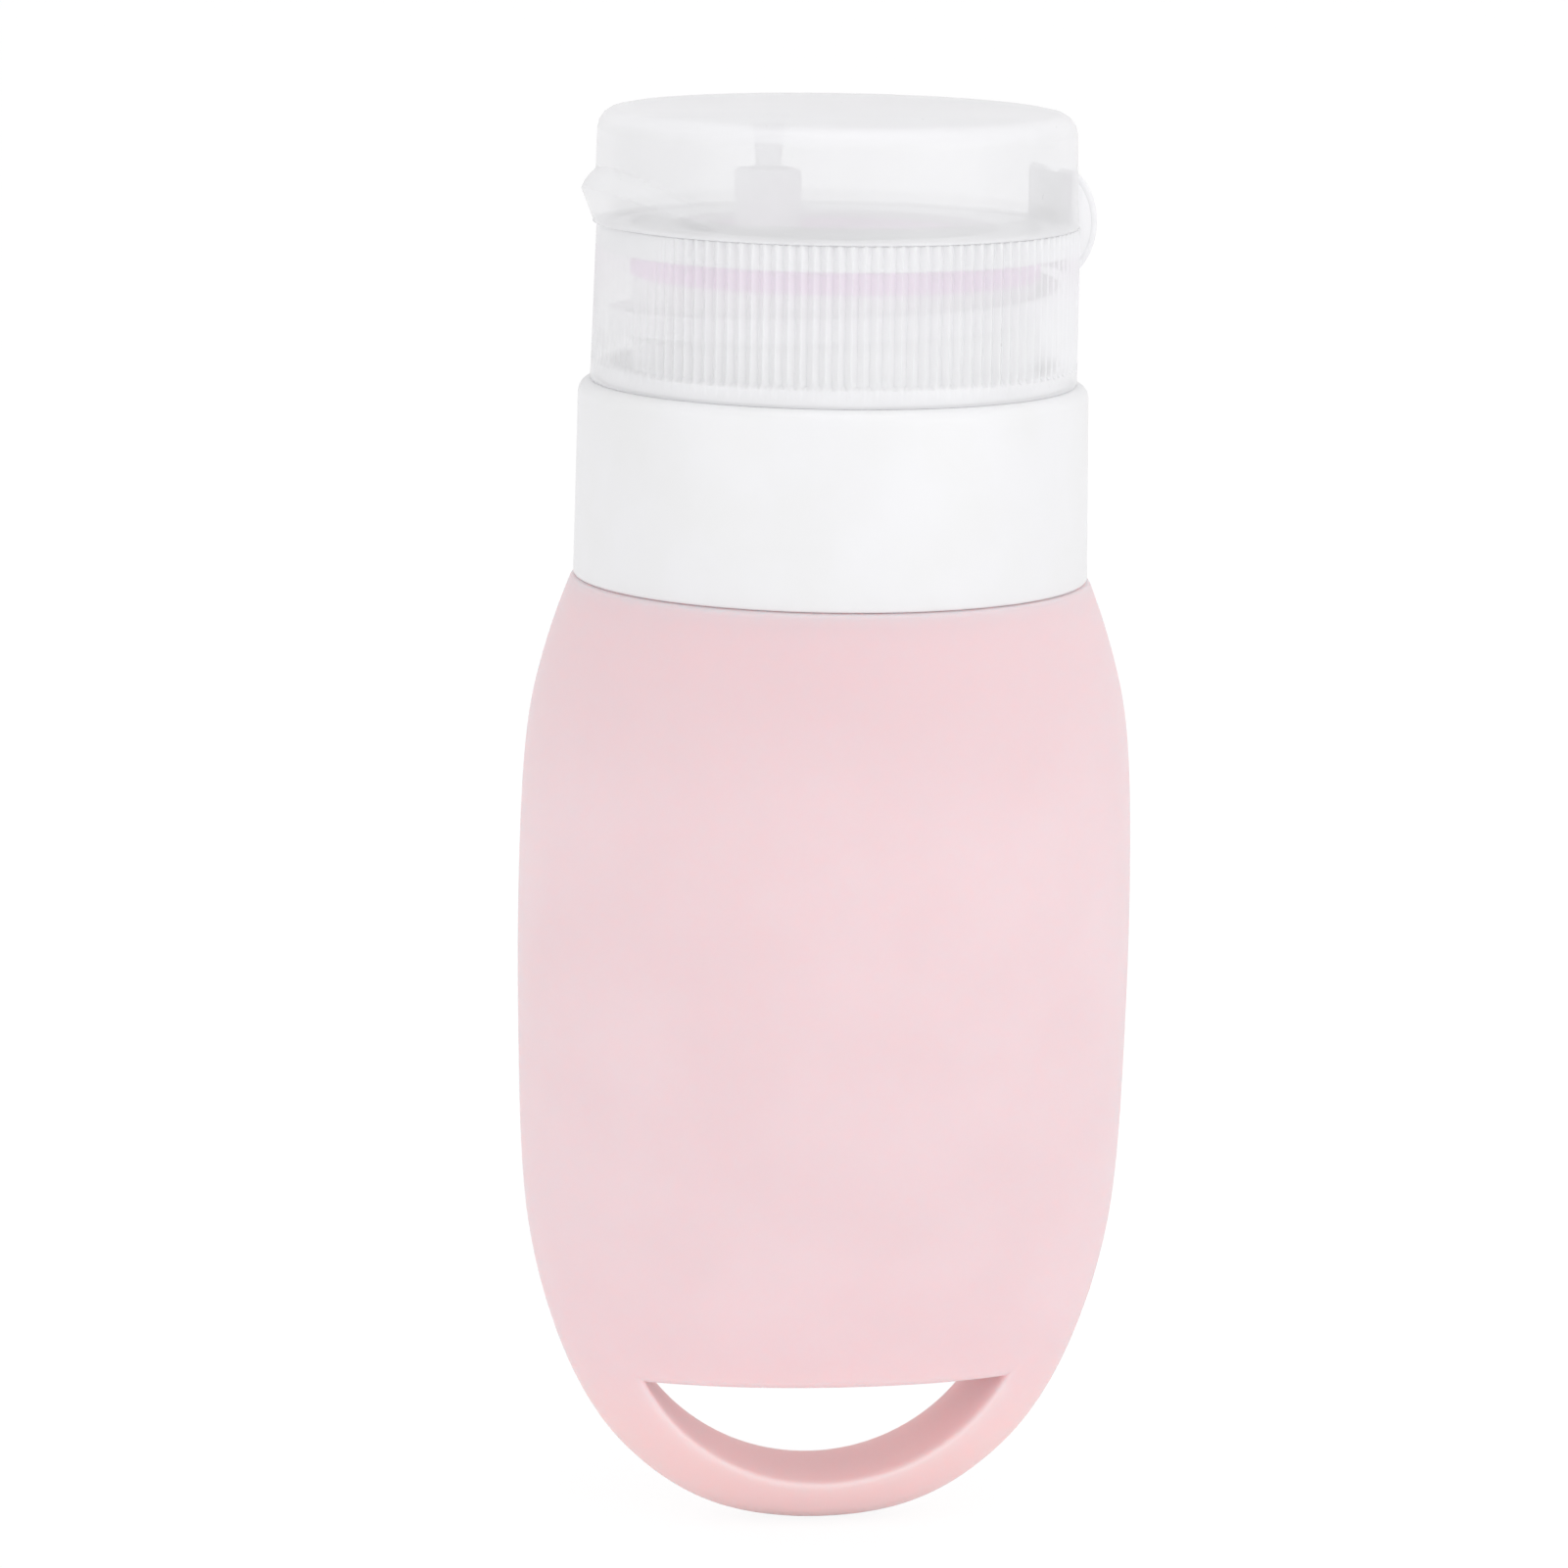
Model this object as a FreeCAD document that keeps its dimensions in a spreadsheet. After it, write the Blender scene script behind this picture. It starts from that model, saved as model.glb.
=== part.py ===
"""Travel squeeze bottle: a soft silicone body with a hanging loop, a collared neck and a flip-top screw cap.

Frame: millimetres, +Z up, origin under the middle of the hanging loop, the body's wide way along X.
"""
import FreeCAD, Part
import math
import os
import Sketcher

doc = FreeCAD.newDocument("TravelSqueezeBottle")

# Driving sizes: millimetres, degrees and counts
SIZES = (
    # Silicone body
    ("body_width", 40.0),
    ("body_depth", 34.4),
    ("body_height", 63.0),
    ("loop_depth", 8.2),
    ("silicone_wall", 1.8),
    ("cavity_floor", 13.0),
    ("shoulder_wall", 1.9),
    ("shoulder_proud", 0.15),
    ("sleeve_wall", 2.0),
    ("slot_width", 23.6),
    ("slot_ceiling", 10.5),
    ("slot_drop", 7.2),
    ("slot_corner", 0.7),
    # Stiff neck
    ("neck_wall", 1.7),
    ("neck_rim_chamfer", 0.4),
    ("neck_depth", 3.6),
    ("barb_reach", 0.7),
    ("barb_height", 1.0),
    ("flange_reach", 1.6),
    ("flange_thickness", 1.2),
    # Collar
    ("collar_height", 13.0),
    ("collar_base_diameter", 33.2),
    ("collar_taper", 0.2),
    ("collar_wall", 1.5),
    ("collar_rim_thickness", 1.0),
    ("collar_round", 0.75),
    ("clamp_clearance", 0.05),
    ("collar_rim_clearance", 0.3),
    # Screw cap
    ("cap_gap", 0.2),
    ("thread_space", 1.25),
    ("cap_height", 9.57),
    ("cap_wall", 1.4),
    ("cap_foot_chamfer", 0.35),
    ("cap_foot_chamfer_height", 0.7),
    ("band_height", 1.3),
    ("rib_count", 124),
    ("rib_depth", 0.3),
    ("rib_groove_width", 0.52),
    ("deck_thickness", 1.1),
    ("step_height", 0.9),
    ("step_width", 1.0),
    ("step_clearance", 0.25),
    ("panel_depth", 0.5),
    ("panel_top_half_angle", 36.0),
    ("panel_foot_half_angle", 25.0),
    ("spout_offset", 4.7),
    ("spout_diameter", 4.3),
    ("spout_bore", 2.4),
    ("spout_height", 3.6),
    ("spout_round", 0.4),
    ("cap_turn_from_width", 14.0),
    # Valve, its retainer and the gasket
    ("valve_thickness", 1.2),
    ("valve_clearance", 0.1),
    ("valve_skin", 0.5),
    ("nipple_height", 1.9),
    ("slit_width", 0.2),
    ("socket_wall", 0.7),
    ("retainer_width", 2.0),
    ("retainer_thickness", 1.0),
    ("gasket_setback", 0.2),
    ("gasket_width", 2.3),
    ("gasket_thickness", 1.8),
    ("gasket_clearance", 0.2),
    # Flip lid
    ("lid_gap", 0.12),
    ("lid_height", 7.11),
    ("lid_setback", 0.1),
    ("lid_taper", 0.25),
    ("lid_wall", 1.1),
    ("lid_ceiling", 1.1),
    ("lid_round", 1.3),
    ("pin_root_diameter", 2.0),
    ("pin_tip_diameter", 1.4),
    ("pin_entry", 1.4),
    ("lip_reach", 0.95),
    ("lip_half_angle", 41.0),
    ("lip_crest_height", 2.28),
    ("lip_rise", 1.95),
    ("lip_fall", 1.95),
    ("lip_tilt", 20.0),
    # Hinge straps and the ears behind them
    ("hinge_reach", 1.05),
    ("hinge_span", 5.7),
    ("strap_thickness", 0.5),
    ("strap_width", 2.6),
    ("strap_spacing", 2.0),
    ("ear_clearance", 0.08),
    # One overrun serves every cut
    ("overrun", 2.0),
)

# Heights and radii that follow from the driving sizes
LEVELS = (
    ("ledge", "Sizes.body_height"),
    # The collar grips the sleeve and the sleeve grips the neck: each takes its size from the one outside
    ("collar_base_radius", "Sizes.collar_base_diameter / 2"),
    ("collar_top_radius", "collar_base_radius - Sizes.collar_taper"),
    ("collar_bore_radius", "collar_base_radius - Sizes.collar_wall"),
    ("sleeve_radius", "collar_bore_radius - Sizes.clamp_clearance"),
    ("sleeve_bore_radius", "sleeve_radius - Sizes.sleeve_wall"),
    ("neck_radius", "sleeve_bore_radius - Sizes.clamp_clearance"),
    ("neck_bore_radius", "neck_radius - Sizes.neck_wall"),
    ("ledge_radius", "collar_base_radius + Sizes.shoulder_proud"),
    ("collar_rim_radius", "neck_radius + Sizes.collar_rim_clearance"),
    ("collar_top", "ledge + Sizes.collar_height"),
    ("flange_top", "collar_top - Sizes.collar_rim_thickness"),
    ("sleeve_top", "flange_top - Sizes.flange_thickness"),
    ("flange_radius", "neck_radius + Sizes.flange_reach"),
    ("neck_foot", "ledge - Sizes.neck_depth"),
    ("barb_top", "neck_foot + Sizes.barb_height"),
    ("barb_radius", "neck_radius + Sizes.barb_reach"),
    ("cap_foot", "collar_top + Sizes.cap_gap"),
    ("seam", "cap_foot + Sizes.cap_height"),
    ("deck_under", "seam - Sizes.deck_thickness"),
    ("neck_rim", "deck_under - Sizes.gasket_thickness"),
    ("neck_rim_shoulder", "neck_rim - Sizes.neck_rim_chamfer"),
    ("neck_rim_radius", "neck_radius - Sizes.neck_rim_chamfer"),
    ("cap_bore_radius", "neck_radius + Sizes.thread_space"),
    ("cap_radius", "cap_bore_radius + Sizes.cap_wall"),
    ("cap_foot_radius", "cap_radius - Sizes.cap_foot_chamfer"),
    ("cap_foot_shoulder", "cap_foot + Sizes.cap_foot_chamfer_height"),
    ("rib_foot", "cap_foot + Sizes.band_height"),
    ("rib_root_radius", "cap_radius - Sizes.rib_depth"),
    ("rib_cut_radius", "cap_radius + Sizes.overrun"),
    ("lid_base_radius", "cap_radius - Sizes.lid_setback"),
    ("lid_top_radius", "lid_base_radius - Sizes.lid_taper"),
    ("lid_bore_radius", "lid_base_radius - Sizes.lid_wall"),
    ("lid_bore_top_radius", "lid_top_radius - Sizes.lid_wall"),
    ("lid_foot", "seam + Sizes.lid_gap"),
    ("lid_top", "lid_foot + Sizes.lid_height"),
    ("lid_ceiling_under", "lid_top - Sizes.lid_ceiling"),
    ("lid_cut_radius", "lid_base_radius + Sizes.lip_reach + Sizes.overrun"),
    ("lid_cut_foot", "lid_foot - 2 * lid_base_radius"),
    ("step_radius", "lid_bore_radius - Sizes.step_clearance"),
    ("step_inner_radius", "step_radius - Sizes.step_width"),
    ("step_top", "seam + Sizes.step_height"),
    ("spout_top", "seam + Sizes.spout_height"),
    ("spout_radius", "Sizes.spout_diameter / 2"),
    ("spout_bore_radius", "Sizes.spout_bore / 2"),
    # The gasket lies on the neck's rim, the socket hangs inside it, and the valve sits in the socket
    ("gasket_radius", "neck_radius - Sizes.gasket_setback"),
    ("gasket_bore_radius", "gasket_radius - Sizes.gasket_width"),
    ("socket_outer_radius", "gasket_bore_radius - Sizes.gasket_clearance"),
    ("socket_radius", "socket_outer_radius - Sizes.socket_wall"),
    ("valve_radius", "socket_radius - Sizes.valve_clearance"),
    ("valve_top", "seam - Sizes.valve_skin"),
    ("valve_foot", "valve_top - Sizes.valve_thickness"),
    ("nipple_top", "valve_top + Sizes.nipple_height"),
    ("nipple_radius", "spout_bore_radius - Sizes.valve_clearance"),
    ("retainer_foot", "valve_foot - Sizes.retainer_thickness"),
    ("retainer_bore_radius", "valve_radius - Sizes.retainer_width"),
    ("pin_foot", "spout_top - Sizes.pin_entry"),
    ("pin_root_radius", "Sizes.pin_root_diameter / 2"),
    ("pin_tip_radius", "Sizes.pin_tip_diameter / 2"),
    # The lip is a bead turned round a tilted axis nearer the thumb, so that it dies away at its half angle
    ("lip_front", "lid_base_radius + Sizes.lip_reach"),
    ("lip_chord", "lid_base_radius * sin(Sizes.lip_half_angle * 1deg)"),
    ("lip_bow", "(lip_front - lid_base_radius * cos(Sizes.lip_half_angle * 1deg))"
                " / cos(Sizes.lip_tilt * 1deg)"),
    ("lip_radius", "(lip_chord ^ 2 + lip_bow ^ 2) / 2 / lip_bow"),
    ("lip_inner_radius", "lip_radius - Sizes.lip_reach"),
    ("lip_foot_radius", "lip_inner_radius - Sizes.lip_fall * tan(Sizes.lip_tilt * 1deg)"),
    ("lip_core_radius", "lip_foot_radius - Sizes.lid_wall / 2"),
    ("lip_top", "Sizes.lip_fall + Sizes.lip_rise"),
    ("lip_round_radius", "(Sizes.lip_reach ^ 2 + Sizes.lip_rise ^ 2) / 2 / Sizes.lip_reach"),
    ("lip_axis_offset", "lip_front - lip_radius * cos(Sizes.lip_tilt * 1deg)"
                        " + Sizes.lip_fall * sin(Sizes.lip_tilt * 1deg)"),
    ("lip_axis_height", "lid_foot + Sizes.lip_crest_height - Sizes.lip_fall * cos(Sizes.lip_tilt * 1deg)"
                        " - lip_radius * sin(Sizes.lip_tilt * 1deg)"),
    # The thumb panel is what lies outside a wide cone whose axis is nearer the hinge
    ("panel_bow", "cap_radius - Sizes.panel_depth - cap_radius * cos(Sizes.panel_top_half_angle * 1deg)"),
    ("panel_axis_offset", "Sizes.panel_depth * (2 * cap_radius - Sizes.panel_depth) / 2 / panel_bow"),
    ("panel_top_radius", "cap_radius - Sizes.panel_depth + panel_axis_offset"),
    ("panel_foot_radius", "sqrt(cap_radius ^ 2 + panel_axis_offset ^ 2"
                          " + 2 * cap_radius * panel_axis_offset * cos(Sizes.panel_foot_half_angle * 1deg))"),
    ("panel_cut_radius", "panel_foot_radius + Sizes.overrun"),
    ("panel_cut_top", "seam + Sizes.overrun"),
    # Hinge
    ("hinge_radius", "cap_radius + Sizes.hinge_reach"),
    ("strap_bow_radius", "((Sizes.hinge_span / 2) ^ 2 + Sizes.hinge_reach ^ 2) / 2 / Sizes.hinge_reach"),
    ("strap_bow_inner_radius", "strap_bow_radius - Sizes.strap_thickness"),
    ("strap_bow_centre", "hinge_radius - strap_bow_radius"),
    ("strap_half_gap", "Sizes.strap_spacing / 2"),
    ("strap_cut_foot", "seam - strap_bow_radius - Sizes.overrun"),
    ("strap_cut_top", "seam + strap_bow_radius + Sizes.overrun"),
    # Each ear starts in the middle of its wall and fills the straps' bow up to a level face at the seam
    ("ear_radius", "strap_bow_inner_radius - Sizes.ear_clearance"),
    ("ear_width", "Sizes.strap_spacing + 2 * Sizes.strap_width"),
    ("cap_ear_root", "cap_radius - Sizes.cap_wall / 2"),
    ("cap_ear_reach", "strap_bow_centre + ear_radius"),
    ("cap_ear_foot", "seam - sqrt(ear_radius ^ 2 - (cap_ear_root - strap_bow_centre) ^ 2)"),
    ("lid_ear_root", "lid_base_radius - Sizes.lid_wall / 2"),
    ("lid_ear_reach", "strap_bow_centre + sqrt(ear_radius ^ 2 - Sizes.lid_gap ^ 2)"),
    ("lid_ear_top", "seam + sqrt(ear_radius ^ 2 - (lid_ear_root - strap_bow_centre) ^ 2)"),
)

# Half section of the thumb lip: from its core along the sloping underside to the crest and over the round top
LIP_CORNERS = (
    ("lip_core_radius", None),
    ("lip_foot_radius", None),
    ("lip_radius", "lip_fall"),
    ("lip_inner_radius", "lip_top"),
    ("lip_core_radius", "lip_top"),
)
# Stations of the body's outer form, from the foot of the loop up to the shoulder:
# height as a share of the body's height, width of its width, depth of the loop's depth and the body's
BODY_STATION_SHARES = (
    (0.0000, 0.020, 0.04, 0.000),
    (0.0016, 0.108, 0.21, 0.000),
    (0.0143, 0.325, 0.64, 0.000),
    (0.0476, 0.521, 1.00, 0.000),
    (0.1111, 0.719, 0.00, 0.350),
    (0.2063, 0.868, 0.00, 0.480),
    (0.3333, 0.969, 0.00, 0.635),
    (0.5238, 0.999, 0.00, 0.815),
    (0.7143, 1.000, 0.00, 0.940),
    (0.8571, 0.973, 0.00, 0.995),
)
# Turn of the shoulder: height as a share of the body's height, width and depth as shares of the ledge's
SHOULDER_TURN_SHARES = (0.9444, 1.078, 1.025)
# The same for the cavity between its floor and the neck: the stations that it shares with the outer form
CAVITY_FIRST_STATION = 6
# Floor of the cavity: width and depth as shares of the body's, at the floor and one wall above it
CAVITY_FLOOR_SHARES = ((0.0, 0.62, 0.22), (1.0, 0.76, 0.32))
# Crown of the cavity: its radius as a share of the neck's, one wall below the shoulder's underside
CAVITY_CROWN_SHARE = 1.13
# Edges are picked by place, to within this share of the cap's radius, and by lie, to within this angle
EDGE_PLACE_SHARE = 0.0001
EDGE_LIE_DEGREES = 1.0


def fill_sheet(name, rows):
    """Spreadsheet with one named cell a row: plain numbers, or formulas that read other cells."""
    sheet = doc.addObject("Spreadsheet::Sheet", name)
    for row, (alias, content) in enumerate(rows, start=1):
        sheet.set(f"A{row}", alias)
        sheet.set(f"B{row}", f"={content}" if isinstance(content, str) else str(content))
        sheet.setAlias(f"B{row}", alias)
    doc.recompute()
    return sheet


sizes = fill_sheet("Sizes", SIZES)
levels = fill_sheet("Levels", LEVELS)
SIZE_NAMES = {alias for alias, _ in SIZES}


def path(alias):
    """Expression that reads a cell."""
    return f"Sizes.{alias}" if alias in SIZE_NAMES else f"Levels.{alias}"


def value(alias):
    """Number in a cell."""
    sheet = sizes if alias in SIZE_NAMES else levels
    return float(sheet.get(alias))


def bind(thing, **bindings):
    """Tie properties to expressions; a double underscore in a name stands for a dot."""
    for name, expression in bindings.items():
        thing.setExpression(name.replace("__", "."), expression)
    return thing


def new_body(label):
    """PartDesign body whose label names the sub-part."""
    body = doc.addObject("PartDesign::Body", label)
    body.Label = label
    return body


def turn_with_cap(body):
    """Turn a piece of the cap round the bottle's axis, from the body's wide way to the hinge's side."""
    body.Placement = FreeCAD.Placement(FreeCAD.Vector(), FreeCAD.Rotation(FreeCAD.Vector(0, 0, 1), 0))
    return bind(body, Placement__Rotation__Angle="Sizes.cap_turn_from_width")


def new_sketch(body, name, plane):
    """Sketch on one of the body's own origin planes."""
    sketch = body.newObject("Sketcher::SketchObject", name)
    support = next(item for item in body.Origin.OriginFeatures if item.Role == plane)
    sketch.AttachmentSupport = [(support, "")]
    sketch.MapMode = "FlatFace"
    return sketch


def pin_point(sketch, geometry, end, across, up):
    """Hold one point of a sketch by two named cells; None puts it on that axis."""
    for kind, alias, axis in (("DistanceX", across, -2), ("DistanceY", up, -1)):
        if alias is None:
            sketch.addConstraint(Sketcher.Constraint("PointOnObject", geometry, end, axis))
            continue
        index = sketch.addConstraint(Sketcher.Constraint(kind, -1, 1, geometry, end, value(alias)))
        sketch.setExpression(f"Constraints[{index}]", path(alias))


def outline(body, name, plane, corners):
    """Closed sketch of straight lines whose corners are pairs of named cells."""
    sketch = new_sketch(body, name, plane)
    places = []
    for corner in corners:
        across, up = (0 if alias is None else value(alias) for alias in corner)
        places.append(FreeCAD.Vector(across, up, 0))
    count = len(corners)
    for index in range(count):
        sketch.addGeometry(Part.LineSegment(places[index], places[(index + 1) % count]))
    for index in range(count):
        sketch.addConstraint(Sketcher.Constraint("Coincident", index, 2, (index + 1) % count, 1))
    for index, (across, up) in enumerate(corners):
        pin_point(sketch, index, 1, across, up)
    return sketch


def turned(body, kind, name, sketch):
    """Full turn of a sketch round its own upright axis, added (Revolution) or cut (Groove)."""
    feature = body.newObject(f"PartDesign::{kind}", name)
    feature.Profile = sketch
    feature.ReferenceAxis = (sketch, ["V_Axis"])
    feature.Angle = 360
    doc.recompute()
    return feature


def round_edges(body, name, base, radius, height, size):
    """Fillet on the circular edges of a given radius and height."""
    near = EDGE_PLACE_SHARE * value("cap_radius")
    names = []
    for index, edge in enumerate(base.Shape.Edges, start=1):
        curve = edge.Curve
        if not isinstance(curve, Part.Circle):
            continue
        if abs(curve.Radius - value(radius)) < near and abs(curve.Center.z - value(height)) < near:
            names.append(f"Edge{index}")
    fillet = body.newObject("PartDesign::Fillet", name)
    fillet.Base = (base, names)
    bind(fillet, Radius=path(size))
    doc.recompute()
    return fillet


def ellipse_at(name, height, half_width, half_depth):
    """Level elliptical section of a loft, each size an expression, its long axis along the larger one."""
    section = doc.addObject("Part::Ellipse", name)
    section.Placement = FreeCAD.Placement(FreeCAD.Vector(), FreeCAD.Rotation(FreeCAD.Vector(0, 0, 1), 0))
    bind(section, MajorRadius=f"max({half_width}; {half_depth})")
    bind(section, MinorRadius=f"min({half_width}; {half_depth})")
    bind(section, Placement__Rotation__Angle=f"{half_width} >= {half_depth} ? 0 : 90")
    return bind(section, Placement__Base__z=height)


def loft(name, sections):
    """Smooth closed solid through a column of sections."""
    form = doc.addObject("Part::Loft", name)
    form.Sections = sections
    form.Solid = True
    form.Ruled = False
    doc.recompute()
    return form


def cylinder(name, radius, foot, top):
    """Upright round bar on the bottle's axis between two expressions of height."""
    bar = doc.addObject("Part::Cylinder", name)
    bar.Placement = FreeCAD.Placement()
    return bind(bar, Radius=radius, Height=f"{top} - ({foot})", Placement__Base__z=foot)


def boolean(kind, label, base, tool):
    """Cut or Fuse of two forms."""
    result = doc.addObject(f"Part::{kind}", label)
    result.Label = label
    result.Base = base
    result.Tool = tool
    doc.recompute()
    return result


def body_form():
    """Outer form of the silicone body: round at the shoulder, drawn out flat towards the loop."""
    sections = []
    for number, (height, width, loop, depth) in enumerate(BODY_STATION_SHARES):
        sections.append(ellipse_at(
            f"BodyStation{number}",
            f"Sizes.body_height * {height}",
            f"Sizes.body_width / 2 * {width}",
            f"Sizes.loop_depth / 2 * {loop} + Sizes.body_depth / 2 * {depth}"))
    height, width, depth = SHOULDER_TURN_SHARES
    sections.append(ellipse_at(
        "BodyShoulderTurn",
        f"Sizes.body_height * {height}",
        f"Levels.ledge_radius * {width}",
        f"Levels.ledge_radius * {depth}"))
    sections.append(ellipse_at("BodyShoulder", "Levels.ledge", "Levels.ledge_radius", "Levels.ledge_radius"))
    return loft("BodyForm", sections)


def cavity_form():
    """Inside of the body: the outer form less its wall, closed over the loop and drawn in to the neck."""
    sections = []
    for number, (rise, width, depth) in enumerate(CAVITY_FLOOR_SHARES):
        sections.append(ellipse_at(
            f"CavityFloor{number}",
            f"Sizes.cavity_floor + Sizes.silicone_wall * {rise}",
            f"Sizes.body_width / 2 * {width}",
            f"Sizes.body_depth / 2 * {depth}"))
    for number, (height, width, _, depth) in enumerate(BODY_STATION_SHARES[CAVITY_FIRST_STATION:]):
        sections.append(ellipse_at(
            f"CavityStation{number}",
            f"Sizes.body_height * {height}",
            f"Sizes.body_width / 2 * {width} - Sizes.silicone_wall",
            f"Sizes.body_depth / 2 * {depth} - Sizes.silicone_wall"))
    crown = "Levels.ledge - Sizes.shoulder_wall"
    wide = f"Levels.sleeve_bore_radius * {CAVITY_CROWN_SHARE}"
    sections.append(ellipse_at("CavityCrown", f"{crown} - Sizes.silicone_wall", wide, wide))
    mouth = path("sleeve_bore_radius")
    sections.append(ellipse_at("CavityMouth", crown, mouth, mouth))
    return loft("CavityForm", sections)


def slot_form():
    """Crescent bar that cuts the loop's hole: a level ceiling over one arc, with rounded corners."""
    body = new_body("SlotForm")
    sketch = new_sketch(body, "SlotOutline", "XZ_Plane")
    half_width = value("slot_width") / 2
    ceiling = value("slot_ceiling")
    drop = value("slot_drop")
    radius = (half_width ** 2 + drop ** 2) / 2 / drop
    centre = FreeCAD.Vector(0, ceiling - drop + radius, 0)
    reach = math.asin(half_width / radius)
    circle = Part.Circle(centre, FreeCAD.Vector(0, 0, 1), radius)
    sketch.addGeometry(Part.ArcOfCircle(circle, -math.pi / 2 - reach, -math.pi / 2 + reach))
    left = FreeCAD.Vector(-half_width, ceiling, 0)
    right = FreeCAD.Vector(half_width, ceiling, 0)
    sketch.addGeometry(Part.LineSegment(right, left))
    sketch.addConstraint(Sketcher.Constraint("Coincident", 0, 2, 1, 1))
    sketch.addConstraint(Sketcher.Constraint("Coincident", 1, 2, 0, 1))
    sketch.addConstraint(Sketcher.Constraint("Symmetric", 1, 1, 1, 2, -2))
    width = sketch.addConstraint(Sketcher.Constraint("DistanceX", 1, 2, 1, 1, value("slot_width")))
    sketch.setExpression(f"Constraints[{width}]", "Sizes.slot_width")
    height = sketch.addConstraint(Sketcher.Constraint("DistanceY", -1, 1, 1, 1, ceiling))
    sketch.setExpression(f"Constraints[{height}]", "Sizes.slot_ceiling")
    arc = sketch.addConstraint(Sketcher.Constraint("Radius", 0, radius))
    sketch.setExpression(
        f"Constraints[{arc}]", "((Sizes.slot_width / 2) ^ 2 + Sizes.slot_drop ^ 2) / 2 / Sizes.slot_drop")
    pad = body.newObject("PartDesign::Pad", "SlotBar")
    pad.Profile = sketch
    pad.Midplane = True
    bind(pad, Length="Sizes.body_depth + Sizes.overrun")
    doc.recompute()
    corners = [
        f"Edge{index}" for index, edge in enumerate(pad.Shape.Edges, start=1)
        if abs(edge.tangentAt(edge.FirstParameter).y) > math.cos(math.radians(EDGE_LIE_DEGREES))
    ]
    fillet = body.newObject("PartDesign::Fillet", "SlotCorners")
    fillet.Base = (pad, corners)
    bind(fillet, Radius="Sizes.slot_corner")
    doc.recompute()
    return body


def make_bottle_body():
    """Silicone squeeze body: hollow, with a neck sleeve above its shoulder and a hole through its loop."""
    sleeve = cylinder(
        "SleeveForm", path("sleeve_radius"), "Levels.ledge - Sizes.shoulder_wall", path("sleeve_top"))
    outer = boolean("Fuse", "BodyWithSleeve", body_form(), sleeve)
    bore = cylinder(
        "SleeveBore", path("sleeve_bore_radius"),
        "Levels.ledge - Sizes.shoulder_wall - Sizes.silicone_wall / 2",
        "Levels.sleeve_top + Sizes.overrun")
    hollow = boolean("Fuse", "BodyHollow", cavity_form(), bore)
    shell = boolean("Cut", "BodyShell", outer, hollow)
    return boolean("Cut", "bottle_body", shell, slot_form())


def make_neck_insert():
    """Stiff neck: a tube with a barb inside the body and a flange under the collar's rim."""
    body = new_body("neck_insert")
    sketch = outline(body, "NeckProfile", "XZ_Plane", (
        ("neck_bore_radius", "neck_foot"),
        ("barb_radius", "neck_foot"),
        ("barb_radius", "barb_top"),
        ("neck_radius", "barb_top"),
        ("neck_radius", "sleeve_top"),
        ("flange_radius", "sleeve_top"),
        ("flange_radius", "flange_top"),
        ("neck_radius", "flange_top"),
        ("neck_radius", "neck_rim_shoulder"),
        ("neck_rim_radius", "neck_rim"),
        ("neck_bore_radius", "neck_rim"),
    ))
    turned(body, "Revolution", "NeckTube", sketch)
    return body


def make_collar():
    """Collar: a slightly tapered ring on the shoulder, with a rim over the neck's flange."""
    body = new_body("collar")
    sketch = outline(body, "CollarProfile", "XZ_Plane", (
        ("collar_bore_radius", "ledge"),
        ("collar_base_radius", "ledge"),
        ("collar_top_radius", "collar_top"),
        ("collar_rim_radius", "collar_top"),
        ("collar_rim_radius", "flange_top"),
        ("collar_bore_radius", "flange_top"),
    ))
    ring = turned(body, "Revolution", "CollarRing", sketch)
    round_edges(body, "CollarTopRound", ring, "collar_top_radius", "collar_top", "collar_round")
    return body


def make_seal_gasket():
    """Flat ring between the neck's rim and the deck."""
    body = new_body("seal_gasket")
    sketch = outline(body, "GasketProfile", "XZ_Plane", (
        ("gasket_bore_radius", "neck_rim"),
        ("gasket_radius", "neck_rim"),
        ("gasket_radius", "deck_under"),
        ("gasket_bore_radius", "deck_under"),
    ))
    turned(body, "Revolution", "GasketRing", sketch)
    return turn_with_cap(body)


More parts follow.
